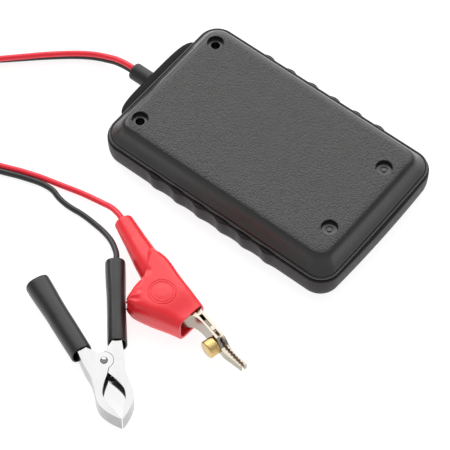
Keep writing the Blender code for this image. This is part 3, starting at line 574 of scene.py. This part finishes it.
def lead(mats):
    line = through([*FEED, *coil(), *RETURN], 4.2)
    for name, side in (("red", -1), ("black", 1)):
        points = []
        for i, here in enumerate(line):
            before, after = line[max(i - 1, 0)], line[min(i + 1, len(line) - 1)]
            run = Vector((after[0] - before[0], after[1] - before[1], 0)).normalized()
            twist = math.radians(here[3])
            to_black = Vector((run.y, -run.x, 0)) * math.cos(twist) - Vector((0, 0, math.sin(twist)))
            points.append(Vector(here[:3]) + side * PAIR_HALF * to_black)
        tail = through([*points[-3:], *TAILS[name], *inside_clip(name)], 4.2)
        route = [(CASE @ p) * MM for p in [*points[:-3], *tail]]
        curve = bpy.data.curves.new(f"{name}_conductor", "CURVE")
        curve.dimensions = "3D"
        curve.bevel_depth = WIRE * MM
        curve.bevel_resolution = 5
        curve.use_fill_caps = True
        curve.resolution_u = 4
        spline = curve.splines.new("BEZIER")
        spline.bezier_points.add(len(route) - 1)
        for point, place in zip(spline.bezier_points, route):
            point.co = place
            point.handle_left_type = point.handle_right_type = "AUTO"
        curve.materials.append(mats[f"{name}_wire"])
        wire = bpy.data.objects.new(f"{name}_conductor", curve)
        bpy.context.scene.collection.objects.link(wire)
        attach(wire, ROOT)
        gone = [f"{name}_lead_feed", f"{name}_lead_return"]
        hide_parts(*(gone + ["lead_coil"] if name == "red" else gone))


# ---- case ---------------------------------------------------------------------------------------
CASE_LENGTH, CASE_WIDTH, CASE_CORNER = 125.0, 81.2, 10.0
GRIP_PITCH, GRIP_WIDTH, GRIP_DEPTH = 12.2, 9.8, 1.2


def case_outline(inset, grip=0.0, bow=0.7):
    half_x, half_y = CASE_LENGTH / 2 - inset, CASE_WIDTH / 2 - inset
    radius = CASE_CORNER - inset + 0.6 * max(inset - 2.0, 0.0)
    flat_x, flat_y = half_x - radius, half_y - radius
    reach = 3 * GRIP_PITCH
    stations = [-reach + 2 * reach * i / 72 for i in range(73)]

    def swell(x):
        off = abs((x / GRIP_PITCH % 1.0 - 0.5) * GRIP_PITCH)
        return 0.5 + 0.5 * math.cos(2 * math.pi * off / GRIP_WIDTH) if off < GRIP_WIDTH / 2 else 0.0

    points = []
    for sx, sy, start in ((1, -1, -90), (1, 1, 0), (-1, 1, 90), (-1, -1, 180)):
        for step in range(15):
            angle = math.radians(start + 90 * step / 14)
            points.append((sx * flat_x + radius * math.cos(angle), sy * flat_y + radius * math.sin(angle)))
        if (sx, sy) == (1, -1):
            for step in range(1, 12):
                y = flat_y * (step / 6 - 1)
                points.append((half_x + bow * (1 - (y / flat_y) ** 2), y))
        elif (sx, sy) == (1, 1):
            points += [(x, half_y + grip * GRIP_DEPTH * swell(x)) for x in reversed(stations)]
        elif (sx, sy) == (-1, -1):
            points += [(x, -half_y - grip * GRIP_DEPTH * swell(x)) for x in stations]
    return points


def case_ring(z, inset, grip=0.0, bow=0.7):
    return [(x, y, z) for x, y in case_outline(inset, grip, bow)]


def front_shell(mats):
    levels = [
        (0.0, 2.9, 0.0), (0.2, 2.2, 0.1), (0.6, 1.55, 0.2), (1.3, 1.0, 0.4), (2.4, 0.62, 0.65),
        (4.2, 0.3, 0.9),
        (7.0, 0.08, 1.0), (9.5, 0.0, 1.0), (11.3, 0.0, 1.0), (11.75, 0.06, 0.99), (12.0, 0.2, 0.97),
        (12.15, 0.42, 0.93), (12.22, 0.7, 0.8), (12.25, 0.95, 0.0), (12.3, 1.3, 0.0), (12.6, 1.6, 0.0),
        (12.6, 2.0, 0.0), (2.4, 2.4, 0.0),
    ]
    steps = [("UNION", turned([(3.2, 2.0), (3.2, 8.7)], at(-50.1, y), 32), CASE) for y in (26.3, -26.3)]
    bore = Matrix.Translation((0, 0, 7.0)) @ Matrix.Rotation(-math.pi / 2, 4, "Y")
    steps += [
        ("DIFFERENCE", block((104.6, 62.6, 2.0), (0, 0, -0.2)), CASE),
        ("DIFFERENCE", block((56.0, 30.0, 8.0), (-14.0, 0, 1.0)), CASE),
        ("DIFFERENCE", turned([(3.8, 50.0), (3.8, 75.0)], bore, 48), CASE),
    ]
    steps += [("DIFFERENCE", turned([(5.3, -2.0), (5.3, 5.0)], at(x, y), 48), CASE) for x, y in KEYS.values()]
    shell = booleans(meshed(loft([case_ring(*level) for level in levels])), steps)
    made_object("case_front", shell, mats["case"], ROOT, ["front_shell"], 34)

    root_x = -61.6
    brow = [(root_x, -25.0 + 1.2)]
    for step in range(1, 64):
        y = -25.0 * math.cos(math.pi * step / 64)
        brow.append((-62.5 - 3.8 * (1 - abs(y / 25.0) ** 5) ** 0.55, y + 1.2))
    brow = [*brow, (root_x, 25.0 + 1.2)][::-1]
    sections = [
        (1.4, 1.9), (2.0, 1.1), (3.2, 0.5), (5.5, 0.12), (8.0, 0.0), (11.2, 0.0), (11.6, 0.1), (11.95, 0.35),
        (12.25, 0.75), (12.5, 1.3), (12.72, 2.0), (12.9, 2.8), (13.0, 3.6),
    ]
    rings = []
    for z, inset in sections:
        rings.append([
            (max(min(x + inset * (x < root_x), root_x), -66.3), y * (1 - inset / 60), z) for x, y in brow
        ])
    mesh = booleans(meshed(loft(rings)), [("DIFFERENCE", turned([(3.8, 50.0), (3.8, 75.0)], bore, 48), CASE)])
    made_object("case_brow", mesh, mats["brow"], ROOT, (), 34)


def rear_cover(mats):
    levels = [
        (22.0, 11.0), (21.98, 10.2), (21.91, 9.4), (21.78, 8.6), (21.57, 7.9), (21.28, 7.25), (20.9, 6.68),
        (20.42, 6.17), (19.86, 5.73), (19.2, 5.32), (18.5, 4.9), (17.6, 4.36), (16.7, 3.78), (15.9, 3.22),
        (15.2, 2.72), (14.6, 2.26), (14.15, 1.93), (13.8, 1.75), (13.55, 1.66), (13.5, 1.56), (13.56, 1.46),
        (13.72, 1.38), (13.8, 1.24), (13.81, 1.04), (13.75, 0.86), (13.6, 0.72), (13.4, 0.66), (13.05, 0.68),
        (12.92, 0.95), (12.9, 2.2), (14.6, 4.4), (18.6, 7.0), (19.4, 9.6),
    ]
    steps = [("UNION", turned([(5.2, 9.0), (5.2, 20.6)], at(-50.1, y), 48), CASE) for y in (26.3, -26.3)]
    steps += [("UNION", turned([(5.0, 18.0), (5.0, 20.6)], at(48.2, y), 48), CASE) for y in (19.4, -19.4)]
    wall = [(3.45, 19.8), (3.55, 19.95), (3.62, 21.6), (3.74, 21.86), (4.0, 22.02)]
    for y in (26.3, -26.3):
        hole = [(1.4, 8.0), (1.4, 12.0), (1.95, 12.0), (1.95, 19.65), (2.1, 19.8), *wall]
        steps.append(("DIFFERENCE", turned(hole, at(-50.1, y)), CASE))
    for y in (19.4, -19.4):
        dish = [
            (0.85, 20.0), (0.95, 19.85), (1.05, 19.5), (1.5, 19.5), (1.6, 19.72), (1.75, 19.8), *wall,
        ]
        steps.append(("DIFFERENCE", turned(dish, at(48.2, y)), CASE))
    cover = booleans(meshed(loft([case_ring(z, inset, bow=0.3) for z, inset in levels])), steps)
    made_object("case_back", cover, mats["cover"], ROOT, ["rear_cover"], 30)


def gland(mats):
    along = Matrix.Translation((0, 0, 7.0)) @ Matrix.Rotation(-math.pi / 2, 4, "Y")
    profile = [
        (2.95, 76.0), (3.3, 76.0), (3.7, 75.8), (3.95, 75.3), (4.0, 74.6), (4.0, 67.4), (4.2, 66.9),
        (4.2, 66.6),
        (3.5, 66.5), (3.5, 59.8), (4.3, 59.8), (4.3, 58.4), (2.95, 58.4),
    ]
    mesh = meshed(turned(profile, along, 48, ring=True))
    made_object("gland_sleeve", mesh, mats["gland"], ROOT, ["cable_gland"], 50)


# ---- display side -------------------------------------------------------------------------------
KEYS = {"up": (35.0, 12.0), "down": (35.0, -12.0), "back": (25.5, 0.0), "enter": (44.5, 0.0)}


def display_side(mats):
    film = meshed(block((104.0, 62.0, 0.5), (0, 0, 0.55)))
    steps = [("DIFFERENCE", block((52.0, 26.0, 4.0), (-14.0, 0, 0)), CASE)]
    steps += [("DIFFERENCE", turned([(5.3, -2.0), (5.3, 3.0)], at(x, y)), CASE) for x, y in KEYS.values()]
    made_object("front_film", booleans(film, steps), mats["film"], ROOT, ["face_overlay"])
    borders = [((54.6, 28.6), (53.2, 27.2), (-14.0, 0.0)), ((101.0, 59.0), (99.8, 57.8), (0.0, 0.0))]
    for number, (outer, inner, (x, y)) in enumerate(borders, 1):
        line = meshed(block((*outer, 0.06), (x, y, 0.28)))
        cut = booleans(line, [("DIFFERENCE", block((*inner, 1.0), (x, y, 0.28)), CASE)])
        made_object(f"film_border_{number}", cut, mats["print"], ROOT)
    arrow = [(0.0, 2.2), (-2.4, -1.5), (2.4, -1.5)]
    square = [(1.6, 1.6), (-1.6, 1.6), (-1.6, -1.6), (1.6, -1.6)]
    marks = {"up": (arrow, 0), "down": (arrow, 180), "back": (arrow, 90), "enter": (square, 0)}
    for name, (x, y) in KEYS.items():
        profile = [
            (0.6, 0.42), (3.6, 0.38), (4.4, 0.42), (4.8, 0.6), (4.98, 0.9), (5.0, 1.3), (5.0, 2.7),
            (5.9, 2.7),
            (5.9, 3.3), (1.6, 3.3), (1.6, 3.9),
        ]
        key = meshed(turned(profile, at(x, y)))
        made_object(f"{name}_key_cap", key, mats["keys"], f"{name}_key", [f"{name}_key"], 50)
        outline, angle = marks[name]
        place = CASE @ at(x, y) @ Matrix.Rotation(math.radians(angle), 4, "Z")
        mark = meshed(prism(outline, 0.34, 0.44), place)
        made_object(f"{name}_key_mark", mark, mats["print"], f"{name}_key")
    for node in ("display_window", "display_frame", "display_glass", "display_backlight"):
        kind = {"display_window": "window", "display_glass": "lcd"}.get(node, "white")
        repaint(node, mats[kind])


def repaint(node, material):
    for slot in frame["nodes"][node].material_slots:
        slot.material = material


def inside(mats):
    """The pieces inside the case keep their CAD shape."""
    looks = {
        "main_board": "board", "microcontroller": "chip", "power_transistor": "chip",
        "load_resistor": "ceramic",
        "current_shunt": "steel", "clock_crystal": "steel", "smoothing_capacitor": "gland", "sounder": "chip",
        "case_screw_1": "steel", "case_screw_2": "steel", "red_inner_lead": "red_wire",
        "black_inner_lead": "black_wire", "red_pivot_pin": "steel",
    }
    looks |= {f"board_screw_{n}": "steel" for n in (1, 2, 3, 4)}
    looks |= {f"{name}_switch": "chip" for name in KEYS}
    for node, kind in looks.items():
        repaint(node, mats[kind])


# ---- black clamp --------------------------------------------------------------------------------
BLACK_LOW, BLACK_HIGH = 1.1, 9.7
BLACK_SHEET = 0.9
HANDLE_START, HANDLE_END = Vector((-7.8, 7.7)), Vector((-46.4, 17.15))
TANG_HALF, TANG_LENGTH = 1.9, 35.0
EAR_RADIUS, EAR_ROOM = 4.0, 4.12
TOOTH_PITCH = 1.05
JAW_OUTER = [
    (0.0, 8.7), (5.8, 7.5), (10.8, 7.4), (16.0, 7.9), (20.0, 7.3), (23.3, 5.5), (26.0, 3.2), (28.8, 0.25),
]
JAW_INNER = [(28.0, 0.25), (22.7, 2.4), (19.1, 4.1), (15.0, 4.6), (11.0, 3.1), (6.6, 0.4)]


def handle_point(along, across):
    run = (HANDLE_END - HANDLE_START).normalized()
    return tuple(HANDLE_START + run * along + Vector((run.y, -run.x)) * across)


def flip(points, side):
    flipped = [(x, y * side) for x, y in points]
    return flipped if side > 0 else flipped[::-1]


def height_at(line, x):
    for a, b in zip(line, line[1:]):
        if a[0] <= x <= b[0] and b[0] > a[0]:
            return a[1] + (b[1] - a[1]) * (x - a[0]) / (b[0] - a[0])
    return line[0][1] if x < line[0][0] else line[-1][1]


def lever_outline():
    outer = [tuple(p) for p in through([handle_point(0, TANG_HALF), *JAW_OUTER], 1.2)]
    inner = []
    for x, y in through(JAW_INNER, 0.5):
        shown = smooth_step((x - 18.6) / 1.2) * smooth_step((27.4 - x) / 0.8)
        tooth = abs((x / TOOTH_PITCH) % 1.0 - 0.5) * 0.5 * shown
        inner.append((x, y + tooth))
    tang = [(0, -TANG_HALF), (TANG_LENGTH, -TANG_HALF), (TANG_LENGTH, TANG_HALF)]
    return outer, [*outer, *inner, *ear(-15, -195, EAR_RADIUS), *(handle_point(*p) for p in tang)]


def black_lever(mats, name, node, side, ears_inside, body):
    outer, outline = lever_outline()
    web = shifted([handle_point(TANG_LENGTH + 2, TANG_HALF), *outer], -BLACK_SHEET)

    def hollow(low, high, x_from=-43.0, x_to=24.5, thicker=0.0):
        kept = [(x, y - thicker) for x, y in web if x_from + 0.3 < x < x_to - 0.3]
        first, last = ((x, height_at(web, x) - thicker) for x in (x_from, x_to))
        shape = [first, *kept, last, (x_to, -12.0), (x_from, -12.0)]
        return ("DIFFERENCE", prism(flip(shape, side), low, high), BLACK)

    low, high, sheet = BLACK_LOW, BLACK_HIGH, BLACK_SHEET
    if ears_inside:
        step = sheet + 0.3
        wedge = flip([(0.0, -1.2), (7.0, -1.2), (6.9, -0.2), (3.9, 1.2), (0.0, 1.2)], side)
        steps = [
            hollow(low + step + sheet, high - step - sheet, thicker=0.1),
            hollow(low + sheet, high - sheet, x_from=7.4), hollow(low + sheet, high - sheet, x_to=-7.4),
            ("DIFFERENCE", turned([(EAR_ROOM, high - step), (EAR_ROOM, high + 2)], sides=96), BLACK),
            ("DIFFERENCE", turned([(EAR_ROOM, low - 2), (EAR_ROOM, low + step)], sides=96), BLACK),
            ("DIFFERENCE", prism(wedge, high - step, high + 2), BLACK),
            ("DIFFERENCE", prism(wedge, low - 2, low + step), BLACK),
        ]
    else:
        steps = [hollow(low + sheet, high - sheet)]
    steps.append(("DIFFERENCE", turned([(1.3, -2), (1.3, 14)], sides=32), BLACK))
    mesh = softened(booleans(meshed(prism(flip(outline, side), low, high), BLACK), steps), 0.16)
    obj = made_object(name, mesh, mats["nickel"], body, [node], 50)
    # Faces inside the hollow channel get the darker nickel as painted shade.
    obj.data.materials.append(mats["painted_channel_shade"])
    for face in obj.data.polygons:
        heights = [obj.data.vertices[v].co.z / MM for v in face.vertices]
        if min(heights) > low + sheet - 0.1 and max(heights) < high - sheet + 0.1:
            face.material_index = 1


def black_sleeve(mats, name, node, side, halves, body):
    """A dipped grip: a soft oval tube over the tang; halves are its half widths at mouth, middle and end."""
    middle_z = (BLACK_LOW + BLACK_HIGH) / 2
    length = (HANDLE_END - HANDLE_START).length
    run = (HANDLE_END - HANDLE_START).normalized()
    across = Vector((run.y, -run.x))
    mouth, waist, end = halves

    def oval(along, half_y, half_z, sides=64, power=0.8):
        points = []
        for i in range(sides):
            c, s = math.cos(2 * math.pi * i / sides), math.sin(2 * math.pi * i / sides)
            place = HANDLE_START + run * along + across * (half_y * math.copysign(abs(c) ** power, c))
            points.append((place.x, place.y * side, middle_z + half_z * math.copysign(abs(s) ** power, s)))
        return points

    def half_at(share):
        if share < 0.5:
            return mouth + (waist - mouth) * smooth_step(share * 2)
        return waist + (end - waist) * smooth_step(share * 2 - 1)

    rings = [oval(TANG_LENGTH + 0.3, 2.0, 4.2), oval(TANG_LENGTH, 2.4, 4.7), oval(1.0, mouth - 0.9, 4.75)]
    rings += [oval(0.15, mouth - 0.8, 4.85), oval(0.0, mouth - 0.55, 5.0), oval(0.05, mouth - 0.2, 5.2)]
    for k in range(19):
        share = k / 18
        wave = 0.04 * math.sin(9 * share + side)
        half_z = 5.28 + 0.04 * math.sin(11 * share)
        rings.append(oval(0.4 + (length - 0.85) * share, half_at(share) + wave, half_z))
    rings += [oval(length - 0.15, end - 0.1, 5.2), oval(length, end - 0.4, 4.9)]
    steps = []
    if side > 0:
        turn = Vector((*run, 0)).to_track_quat("Z", "Y").to_matrix().to_4x4()
        entry = Matrix.Translation((*handle_point(TANG_LENGTH - 1, -0.4), middle_z)) @ turn
        steps.append(("DIFFERENCE", turned([(1.36, 0.0), (1.36, 8.0)], entry, 24), BLACK))
    mesh = booleans(meshed(loft(rings), BLACK), steps)
    made_object(name, mesh, mats["black_pvc"], body, [node], 60)


def spring(mats, name, node, leg_a, leg_b, radius, wire, z_low, z_high, turns, place):
    """Wire from one leg's end round the pin and out to the other's."""
    angle_a, angle_b = math.atan2(leg_a[1], leg_a[0]), math.atan2(leg_b[1], leg_b[0])
    start = angle_a + math.acos(radius / math.hypot(*leg_a))
    stop = angle_b - math.acos(radius / math.hypot(*leg_b))
    while stop < start + 2 * math.pi * (turns - 1):
        stop += 2 * math.pi
    count = round((stop - start) / math.radians(12))
    points = [(*leg_a, z_low)]
    for i in range(count + 1):
        angle = start + (stop - start) * i / count
        z = z_low + (z_high - z_low) * i / count
        points.append((radius * math.cos(angle), radius * math.sin(angle), z))
    points.append((*leg_b, z_high))
    curve = bpy.data.curves.new(name, "CURVE")
    curve.dimensions = "3D"
    curve.bevel_depth = wire / 2
    curve.bevel_resolution = 3
    curve.use_fill_caps = True
    spline = curve.splines.new("POLY")
    spline.points.add(len(points) - 1)
    for point, where in zip(spline.points, points):
        point.co = (*where, 1.0)
    holder = bpy.data.objects.new("wire", curve)
    bpy.context.scene.collection.objects.link(holder)
    mesh = evaluated(holder)
    mesh.transform(Matrix.Scale(MM, 4) @ place)
    obj = made_object(name, mesh, mats["steel"], None, [node], 70)
    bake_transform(obj)


def black_clamp(mats):
    black_lever(mats, "black_jaw_fixed", "black_fixed_jaw", 1, True, ROOT)
    black_lever(mats, "black_jaw_moving", "black_moving_jaw", -1, False, "black_lever")
    black_sleeve(mats, "black_sleeve_fixed", "black_fixed_grip", 1, (4.15, 4.05, 4.4), ROOT)
    black_sleeve(mats, "black_sleeve_moving", "black_moving_grip", -1, (4.75, 4.85, 5.4), "black_lever")
    low, high = BLACK_LOW, BLACK_HIGH
    head = [(0.35, 1.25), (0.8, 1.16), (1.2, 0.92), (1.5, 0.5), (1.62, 0.2), (1.65, 0.02)]
    profile = [(r, low - z) for r, z in head] + [(1.0, low - 0.02), (1.0, high + 0.02)]
    profile += [(r, high + z) for r, z in reversed(head)]
    rivet = meshed(turned(profile), BLACK)
    made_object("black_clamp_rivet", rivet, mats["nickel"], ROOT, ["black_rivet"])
    spring(mats, "black_clamp_spring", "black_spring", (-6.2, 7.8), (-6.2, -7.8), 2.55, 0.8, 4.0, 6.8, 4,
           BLACK)


# ---- red clip -----------------------------------------------------------------------------------
NEAR_Z, FAR_Z = (3.0, 13.0), (4.1, 11.9)
RED_SHEET = 0.8
FAR_OUTER = [(43.4, 5.7), (38.5, 5.0), (35.0, 4.7), (31.0, 5.3), (28.0, 5.6), (-6.0, 5.5), (-11.2, 4.9)]
NEAR_OUTER = [
    (43.2, 2.9), (38.0, 1.9), (33.5, 1.1), (29.5, 1.4), (16.5, 1.4), (13.2, 0.2), (11.0, -2.6), (7.0, -6.6),
    (1.0, -9.6), (-4.0, -12.0), (-6.8, -13.7),
]
STUD = (27.6, 3.85, 5.0)
BOOT_OUTLINE = [
    (24.0, 6.9), (10.0, 7.4), (-5.0, 8.0), (-13.0, 8.8), (-17.0, 8.8), (-21.0, 7.9), (-24.3, 6.0),
    (-24.0, 3.4), (-21.5, 1.5), (-18.5, -0.3), (-16.2, -3.0), (-14.9, -6.2), (-13.9, -10.2), (-12.2, -14.3),
    (-10.6, -16.9), (-8.5, -18.0), (-5.9, -17.9), (-2.5, -16.6), (2.5, -14.2), (9.3, -10.3), (15.0, -7.4),
    (24.0, -3.7),
]
CAVITY_OUTLINE = [
    (32.0, 6.05), (10.0, 6.05), (-5.0, 6.1), (-12.0, 5.6), (-13.9, 3.4), (-13.6, -2.0), (-12.2, -8.0),
    (-10.5, -13.0), (-9.4, -15.6), (-8.0, -16.4), (-5.6, -15.4), (2.0, -12.4), (9.3, -8.7), (15.0, -5.8),
    (32.0, 1.4),
]
MOUTH = ((10.9, 8.5), (14.2, -8.6))
BOOT_KNOT = (-10.2, -17.2, 8.0)  # where the boot is gathered round its lever's end
BOOT_MARK = (-2.4, -4.1)  # the middle of the two moulded rings
MARK_RADII = (5.85, 4.8)


def ear(start, stop, radius=3.8):
    step = -10 if stop < start else 10
    return [(radius * math.cos(math.radians(a)), radius * math.sin(math.radians(a)))
            for a in range(start, stop + (1 if step > 0 else -1), step)]


def toothed(start, stop, y_start, y_stop, pitch, depth):
    """A sawtooth edge from one x to another, its teeth standing towards the other jaw."""
    count = max(1, round(abs(stop - start) / pitch))
    points = []
    for i in range(count):
        for part, out in ((0.0, 0.0), (0.5, 1.0)):
            share = (i + part) / count
            y = y_start + (y_stop - y_start) * share + out * depth
            points.append((start + (stop - start) * share, y))
    return points


def nose_cuts(z_range):
    """Wedges that narrow a jaw's nose from above and below."""
    cuts = []
    for edge, bend, tip, far in ((z_range[0], 4.8, 6.0, -4.0), (z_range[1], 9.7, 9.2, 20.0)):
        profile = [(27.8, edge), (31.6, bend), (46.0, tip), (46.0, far), (27.8, far)]
        cuts.append(("DIFFERENCE", loft([[(x, y, z) for x, z in profile] for y in (-6.0, 12.0)]), RED))
    return cuts


def paint_jaw_shade(jaw, material, facing):
    """A jaw's inner edges, which face the other jaw, and its rolled edge in a darker metal: painted shade
    between the jaws, and a painted dark line along the rolled edge.
    """
    jaw.data.materials.append(material)
    back = (Matrix.Scale(MM, 4) @ RED).inverted()
    turn = RED.to_3x3().inverted()
    for face in jaw.data.polygons:
        normal = turn @ face.normal
        inner = 13.0 < (back @ face.center).x < 42.8 and normal.y * facing > 0.3
        rolled = facing < 0 and normal.y > 0.45 and normal.z > 0.15
        if inner or rolled:
            face.material_index = 1


def red_jaws(mats):
    hollow_end = 27.3
    low, high = FAR_Z
    inner = [
        (6.0, 2.7), (10.0, 2.55), (14.1, 2.55), (14.1, 4.3), (21.3, 4.2), (21.3, 3.05), (23.4, 3.05),
        (23.4, 4.4), (27.0, 4.4), (27.5, 3.6),
    ]
    inner += toothed(28.0, 42.6, 3.5, 4.35, 1.7, 0.42) + [(43.4, 4.4)]
    rest = [(-11.4, 3.0), (-6.0, 3.0), *ear(180, 360), *inner]
    rolled = [(low, 0.0), (high - 0.5, 0.0), (high - 0.16, 0.14), (high, 0.5)]
    far = loft([[(x, y, z) for x, y in [*shifted(FAR_OUTER, inset), *rest]] for z, inset in rolled])
    wall = shifted(FAR_OUTER, RED_SHEET)
    edge = [(hollow_end, height_at(wall, hollow_end)), *(p for p in wall if p[0] < hollow_end)]
    inside_far = [*edge, (-16.0, edge[-1][1]), (-16.0, -12.0), (edge[0][0], -12.0)]
    steps = [("DIFFERENCE", prism(inside_far, low + RED_SHEET, high - RED_SHEET), RED), *nose_cuts(FAR_Z)]
    steps.append(("DIFFERENCE", turned([(1.5, -2), (1.5, 20)], sides=32), RED))
    mesh = softened(booleans(meshed(far, RED), steps), 0.12)
    jaw = made_object("red_jaw_far", mesh, mats["gold"], ROOT, ["red_fixed_jaw"], 50)
    paint_jaw_shade(jaw, mats["painted_jaw_shade"], -1)

    low, high = NEAR_Z
    outer = [tuple(p) for p in through(NEAR_OUTER, 1.0)]
    inner = [(6.5, 2.2), (13.0, 2.28), (26.3, 2.7), *toothed(28.6, 42.4, 2.8, 3.35, 1.7, -0.45), (43.2, 3.5)]
    near = [*outer, (-7.8, -12.2), (-4.2, -9.2), *ear(200, 60), *inner]
    edge = [p for p in shifted(outer, -RED_SHEET) if p[0] < hollow_end]
    inside_near = [*edge, (-12.0, edge[-1][1]), (-12.0, 14.0), (edge[0][0], 14.0)]
    steps = [("DIFFERENCE", prism(inside_near, low + RED_SHEET, high - RED_SHEET), RED), *nose_cuts(NEAR_Z)]
    steps.append(("DIFFERENCE", turned([(1.5, -2), (1.5, 20)], sides=32), RED))
    mesh = booleans(meshed(prism(near, low, high), RED), steps)
    mesh = softened(mesh, 0.16)
    jaw = made_object("red_jaw_near", mesh, mats["gold"], "red_lever", ["red_moving_jaw"], 50)
    paint_jaw_shade(jaw, mats["painted_jaw_shade"], 1)

    along, radius, length = STUD
    out = Matrix.Translation((along, 1.4, 8.0)) @ Matrix.Rotation(math.pi / 2, 4, "X")

    def knurl(index, angle):
        return 0.05 * math.cos(44 * angle) if 2 <= index <= 5 else 0.0

    profile = [
        (radius - 0.3, 0.0), (radius, 0.3), (radius, 0.8), (radius, 1.8), (radius, length - 1.0),
        (radius, length - 0.5), (radius - 0.12, length - 0.18), (radius - 0.4, length - 0.02), (0.6, length),
    ]
    stud = meshed(turned(profile, out, 176, ripple=knurl), RED)
    made_object("red_jaw_stud", stud, mats["brass"], "red_lever", ["red_brass_stud"], 55)
    spring(mats, "red_clip_spring", "red_spring", (-10.5, 3.6), (-4.6, -10.6), 2.1, 0.8, 6.4, 9.6, 4,
           RED)


def rounded(line, section, spacing):
    outline = [line[0], *(tuple(p) for p in through(line[1:-1], spacing)), line[-1]]
    return loft([[(x, y, z) for x, y in inset_outline(outline, inset)] for z, inset in section])


def red_boot(mats):
    """A soft moulded boot: solid union, remeshed and relaxed, then hollowed from its mouth."""
    section = [
        (0.1, 4.2), (0.35, 2.9), (0.9, 1.8), (1.8, 0.95), (3.0, 0.4), (5.5, 0.0), (10.5, 0.0), (12.6, 0.3),
        (14.2, 1.0), (15.3, 2.1), (15.8, 3.2), (16.0, 4.6),
    ]
    start, stop = NECK_START, NECK_STOP
    length = (stop - start).length
    turn = (stop - start).to_track_quat("Z", "Y").to_matrix().to_4x4()
    neck = [
        (3.3, 0.0), (3.95, 0.1), (4.25, 0.4), (4.3, 1.0), (4.95, length * 0.35), (5.9, length * 0.68),
        (6.3, length),
    ]
    steps = [("UNION", turned(neck, Matrix.Translation(start) @ turn, 48), RED)]
    whole = booleans(meshed(rounded(BOOT_OUTLINE, section, 1.5), RED), steps)
    holder = bpy.data.objects.new("boot", whole)
    bpy.context.scene.collection.objects.link(holder)
    remesh = holder.modifiers.new("remesh", "REMESH")
    remesh.mode = "VOXEL"
    remesh.voxel_size = 0.5 * MM
    relax = holder.modifiers.new("relax", "SMOOTH")
    relax.factor = 0.5
    relax.iterations = 9
    whole = evaluated(holder)
    to_local = (Matrix.Scale(MM, 4) @ RED).inverted()
    to_world = to_local.inverted()
    knot = Vector(BOOT_KNOT)
    pull = Vector((-0.55, -0.83, 0.0)).normalized()
    side = Vector((-pull.y, pull.x, 0.0))
    for vertex in whole.vertices:
        p = to_local @ vertex.co
        off = p - knot
        deep = -off.dot(pull)
        across, up = off.dot(side), off.z
        spread = math.hypot(across, up)
        near = smooth_step(1.0 - (spread + max(deep, 0.0) * 0.9) / 9.5)
        fold = 1 - 2 * abs(math.sin(4.5 * math.atan2(up, across) + 0.2 * deep)) ** 0.7
        press = pull * (0.9 * smooth_step(1 - spread / 2.4) * near)
        p += pull * (0.85 * fold * near * smooth_step(spread / 2.2)) - press
        fan = math.atan2(across, deep)
        reach = math.hypot(off.x, off.y)
        if p.z > 9.0 and deep > -1.0:
            p.z -= 0.75 * abs(math.sin(4.0 * fan + 0.3)) ** 1.5 * smooth_step(1 - abs(reach - 3.2) / 5.0)
        if p.z > 8.0:
            p.z -= 0.2 * (p.z - 8.0) * smooth_step((p.x - 1.0) / 11.0)
        if p.z > 13.0:
            r = math.hypot(p.x - BOOT_MARK[0], p.y - BOOT_MARK[1])
            p.z += 0.25 * smooth_step((4.6 - r) / 3.0)
        dip = math.hypot((p.x + 15.2) / 3.4, (p.y + 3.4) / 3.0)
        if dip < 1.0 and p.z > 8.0:
            p.z -= 0.7 * (1 - dip * dip) ** 2
        vertex.co = to_world @ p
    top = BVHTree.FromPolygons([v.co for v in whole.vertices], [list(f.vertices) for f in whole.polygons])
    grooves = []
    for radius in MARK_RADII:
        rings = []
        for step in range(72):
            angle = 2 * math.pi * step / 72
            out = Vector((math.cos(angle), math.sin(angle), 0))
            over = Vector((*BOOT_MARK, 30.0)) + out * radius
            hit = to_local @ top.ray_cast(to_world @ over, Vector((0, 0, -1)))[0]
            spokes = [(math.cos(2 * math.pi * i / 8), math.sin(2 * math.pi * i / 8)) for i in range(8)]
            rings.append([hit + out * 0.24 * c + Vector((0, 0, 0.24 * s + 0.02)) for c, s in spokes])
        grooves.append(("DIFFERENCE", loft(rings, closed=True), RED))
    (ax, ay), (bx, by) = MOUTH
    edge = Vector((bx - ax, by - ay)).normalized()
    front = [(ax - edge.x * 6, ay - edge.y * 6), (bx + edge.x * 6, by + edge.y * 6), (40.0, -20.0), (40.0, 20.0)]
    cavity_section = [
        (1.7, 1.6), (2.2, 0.9), (3.0, 0.4), (5.0, 0.0), (11.0, 0.0), (12.9, 0.15), (13.25, 0.45), (13.6, 1.3),
    ]
    steps = [
        ("DIFFERENCE", prism(front, -3.0, 20.0), RED),
        ("DIFFERENCE", rounded(CAVITY_OUTLINE, cavity_section, 1.5), RED),
        ("DIFFERENCE", turned([(1.38, -1.0), (1.38, length)], Matrix.Translation(start) @ turn, 24), RED),
        *grooves,
    ]
    whole = booleans(whole, steps)
    whole = softened(whole, 0.25, 2, 60.0)
    made_object("red_clip_boot", whole, mats["red_pvc"], ROOT, ["red_boot"], 50)


# ---- all ----------------------------------------------------------------------------------------
camera()
studio()
mats = palette()
front_shell(mats)
rear_cover(mats)
gland(mats)
display_side(mats)
inside(mats)
black_clamp(mats)
red_jaws(mats)
red_boot(mats)
lead(mats)
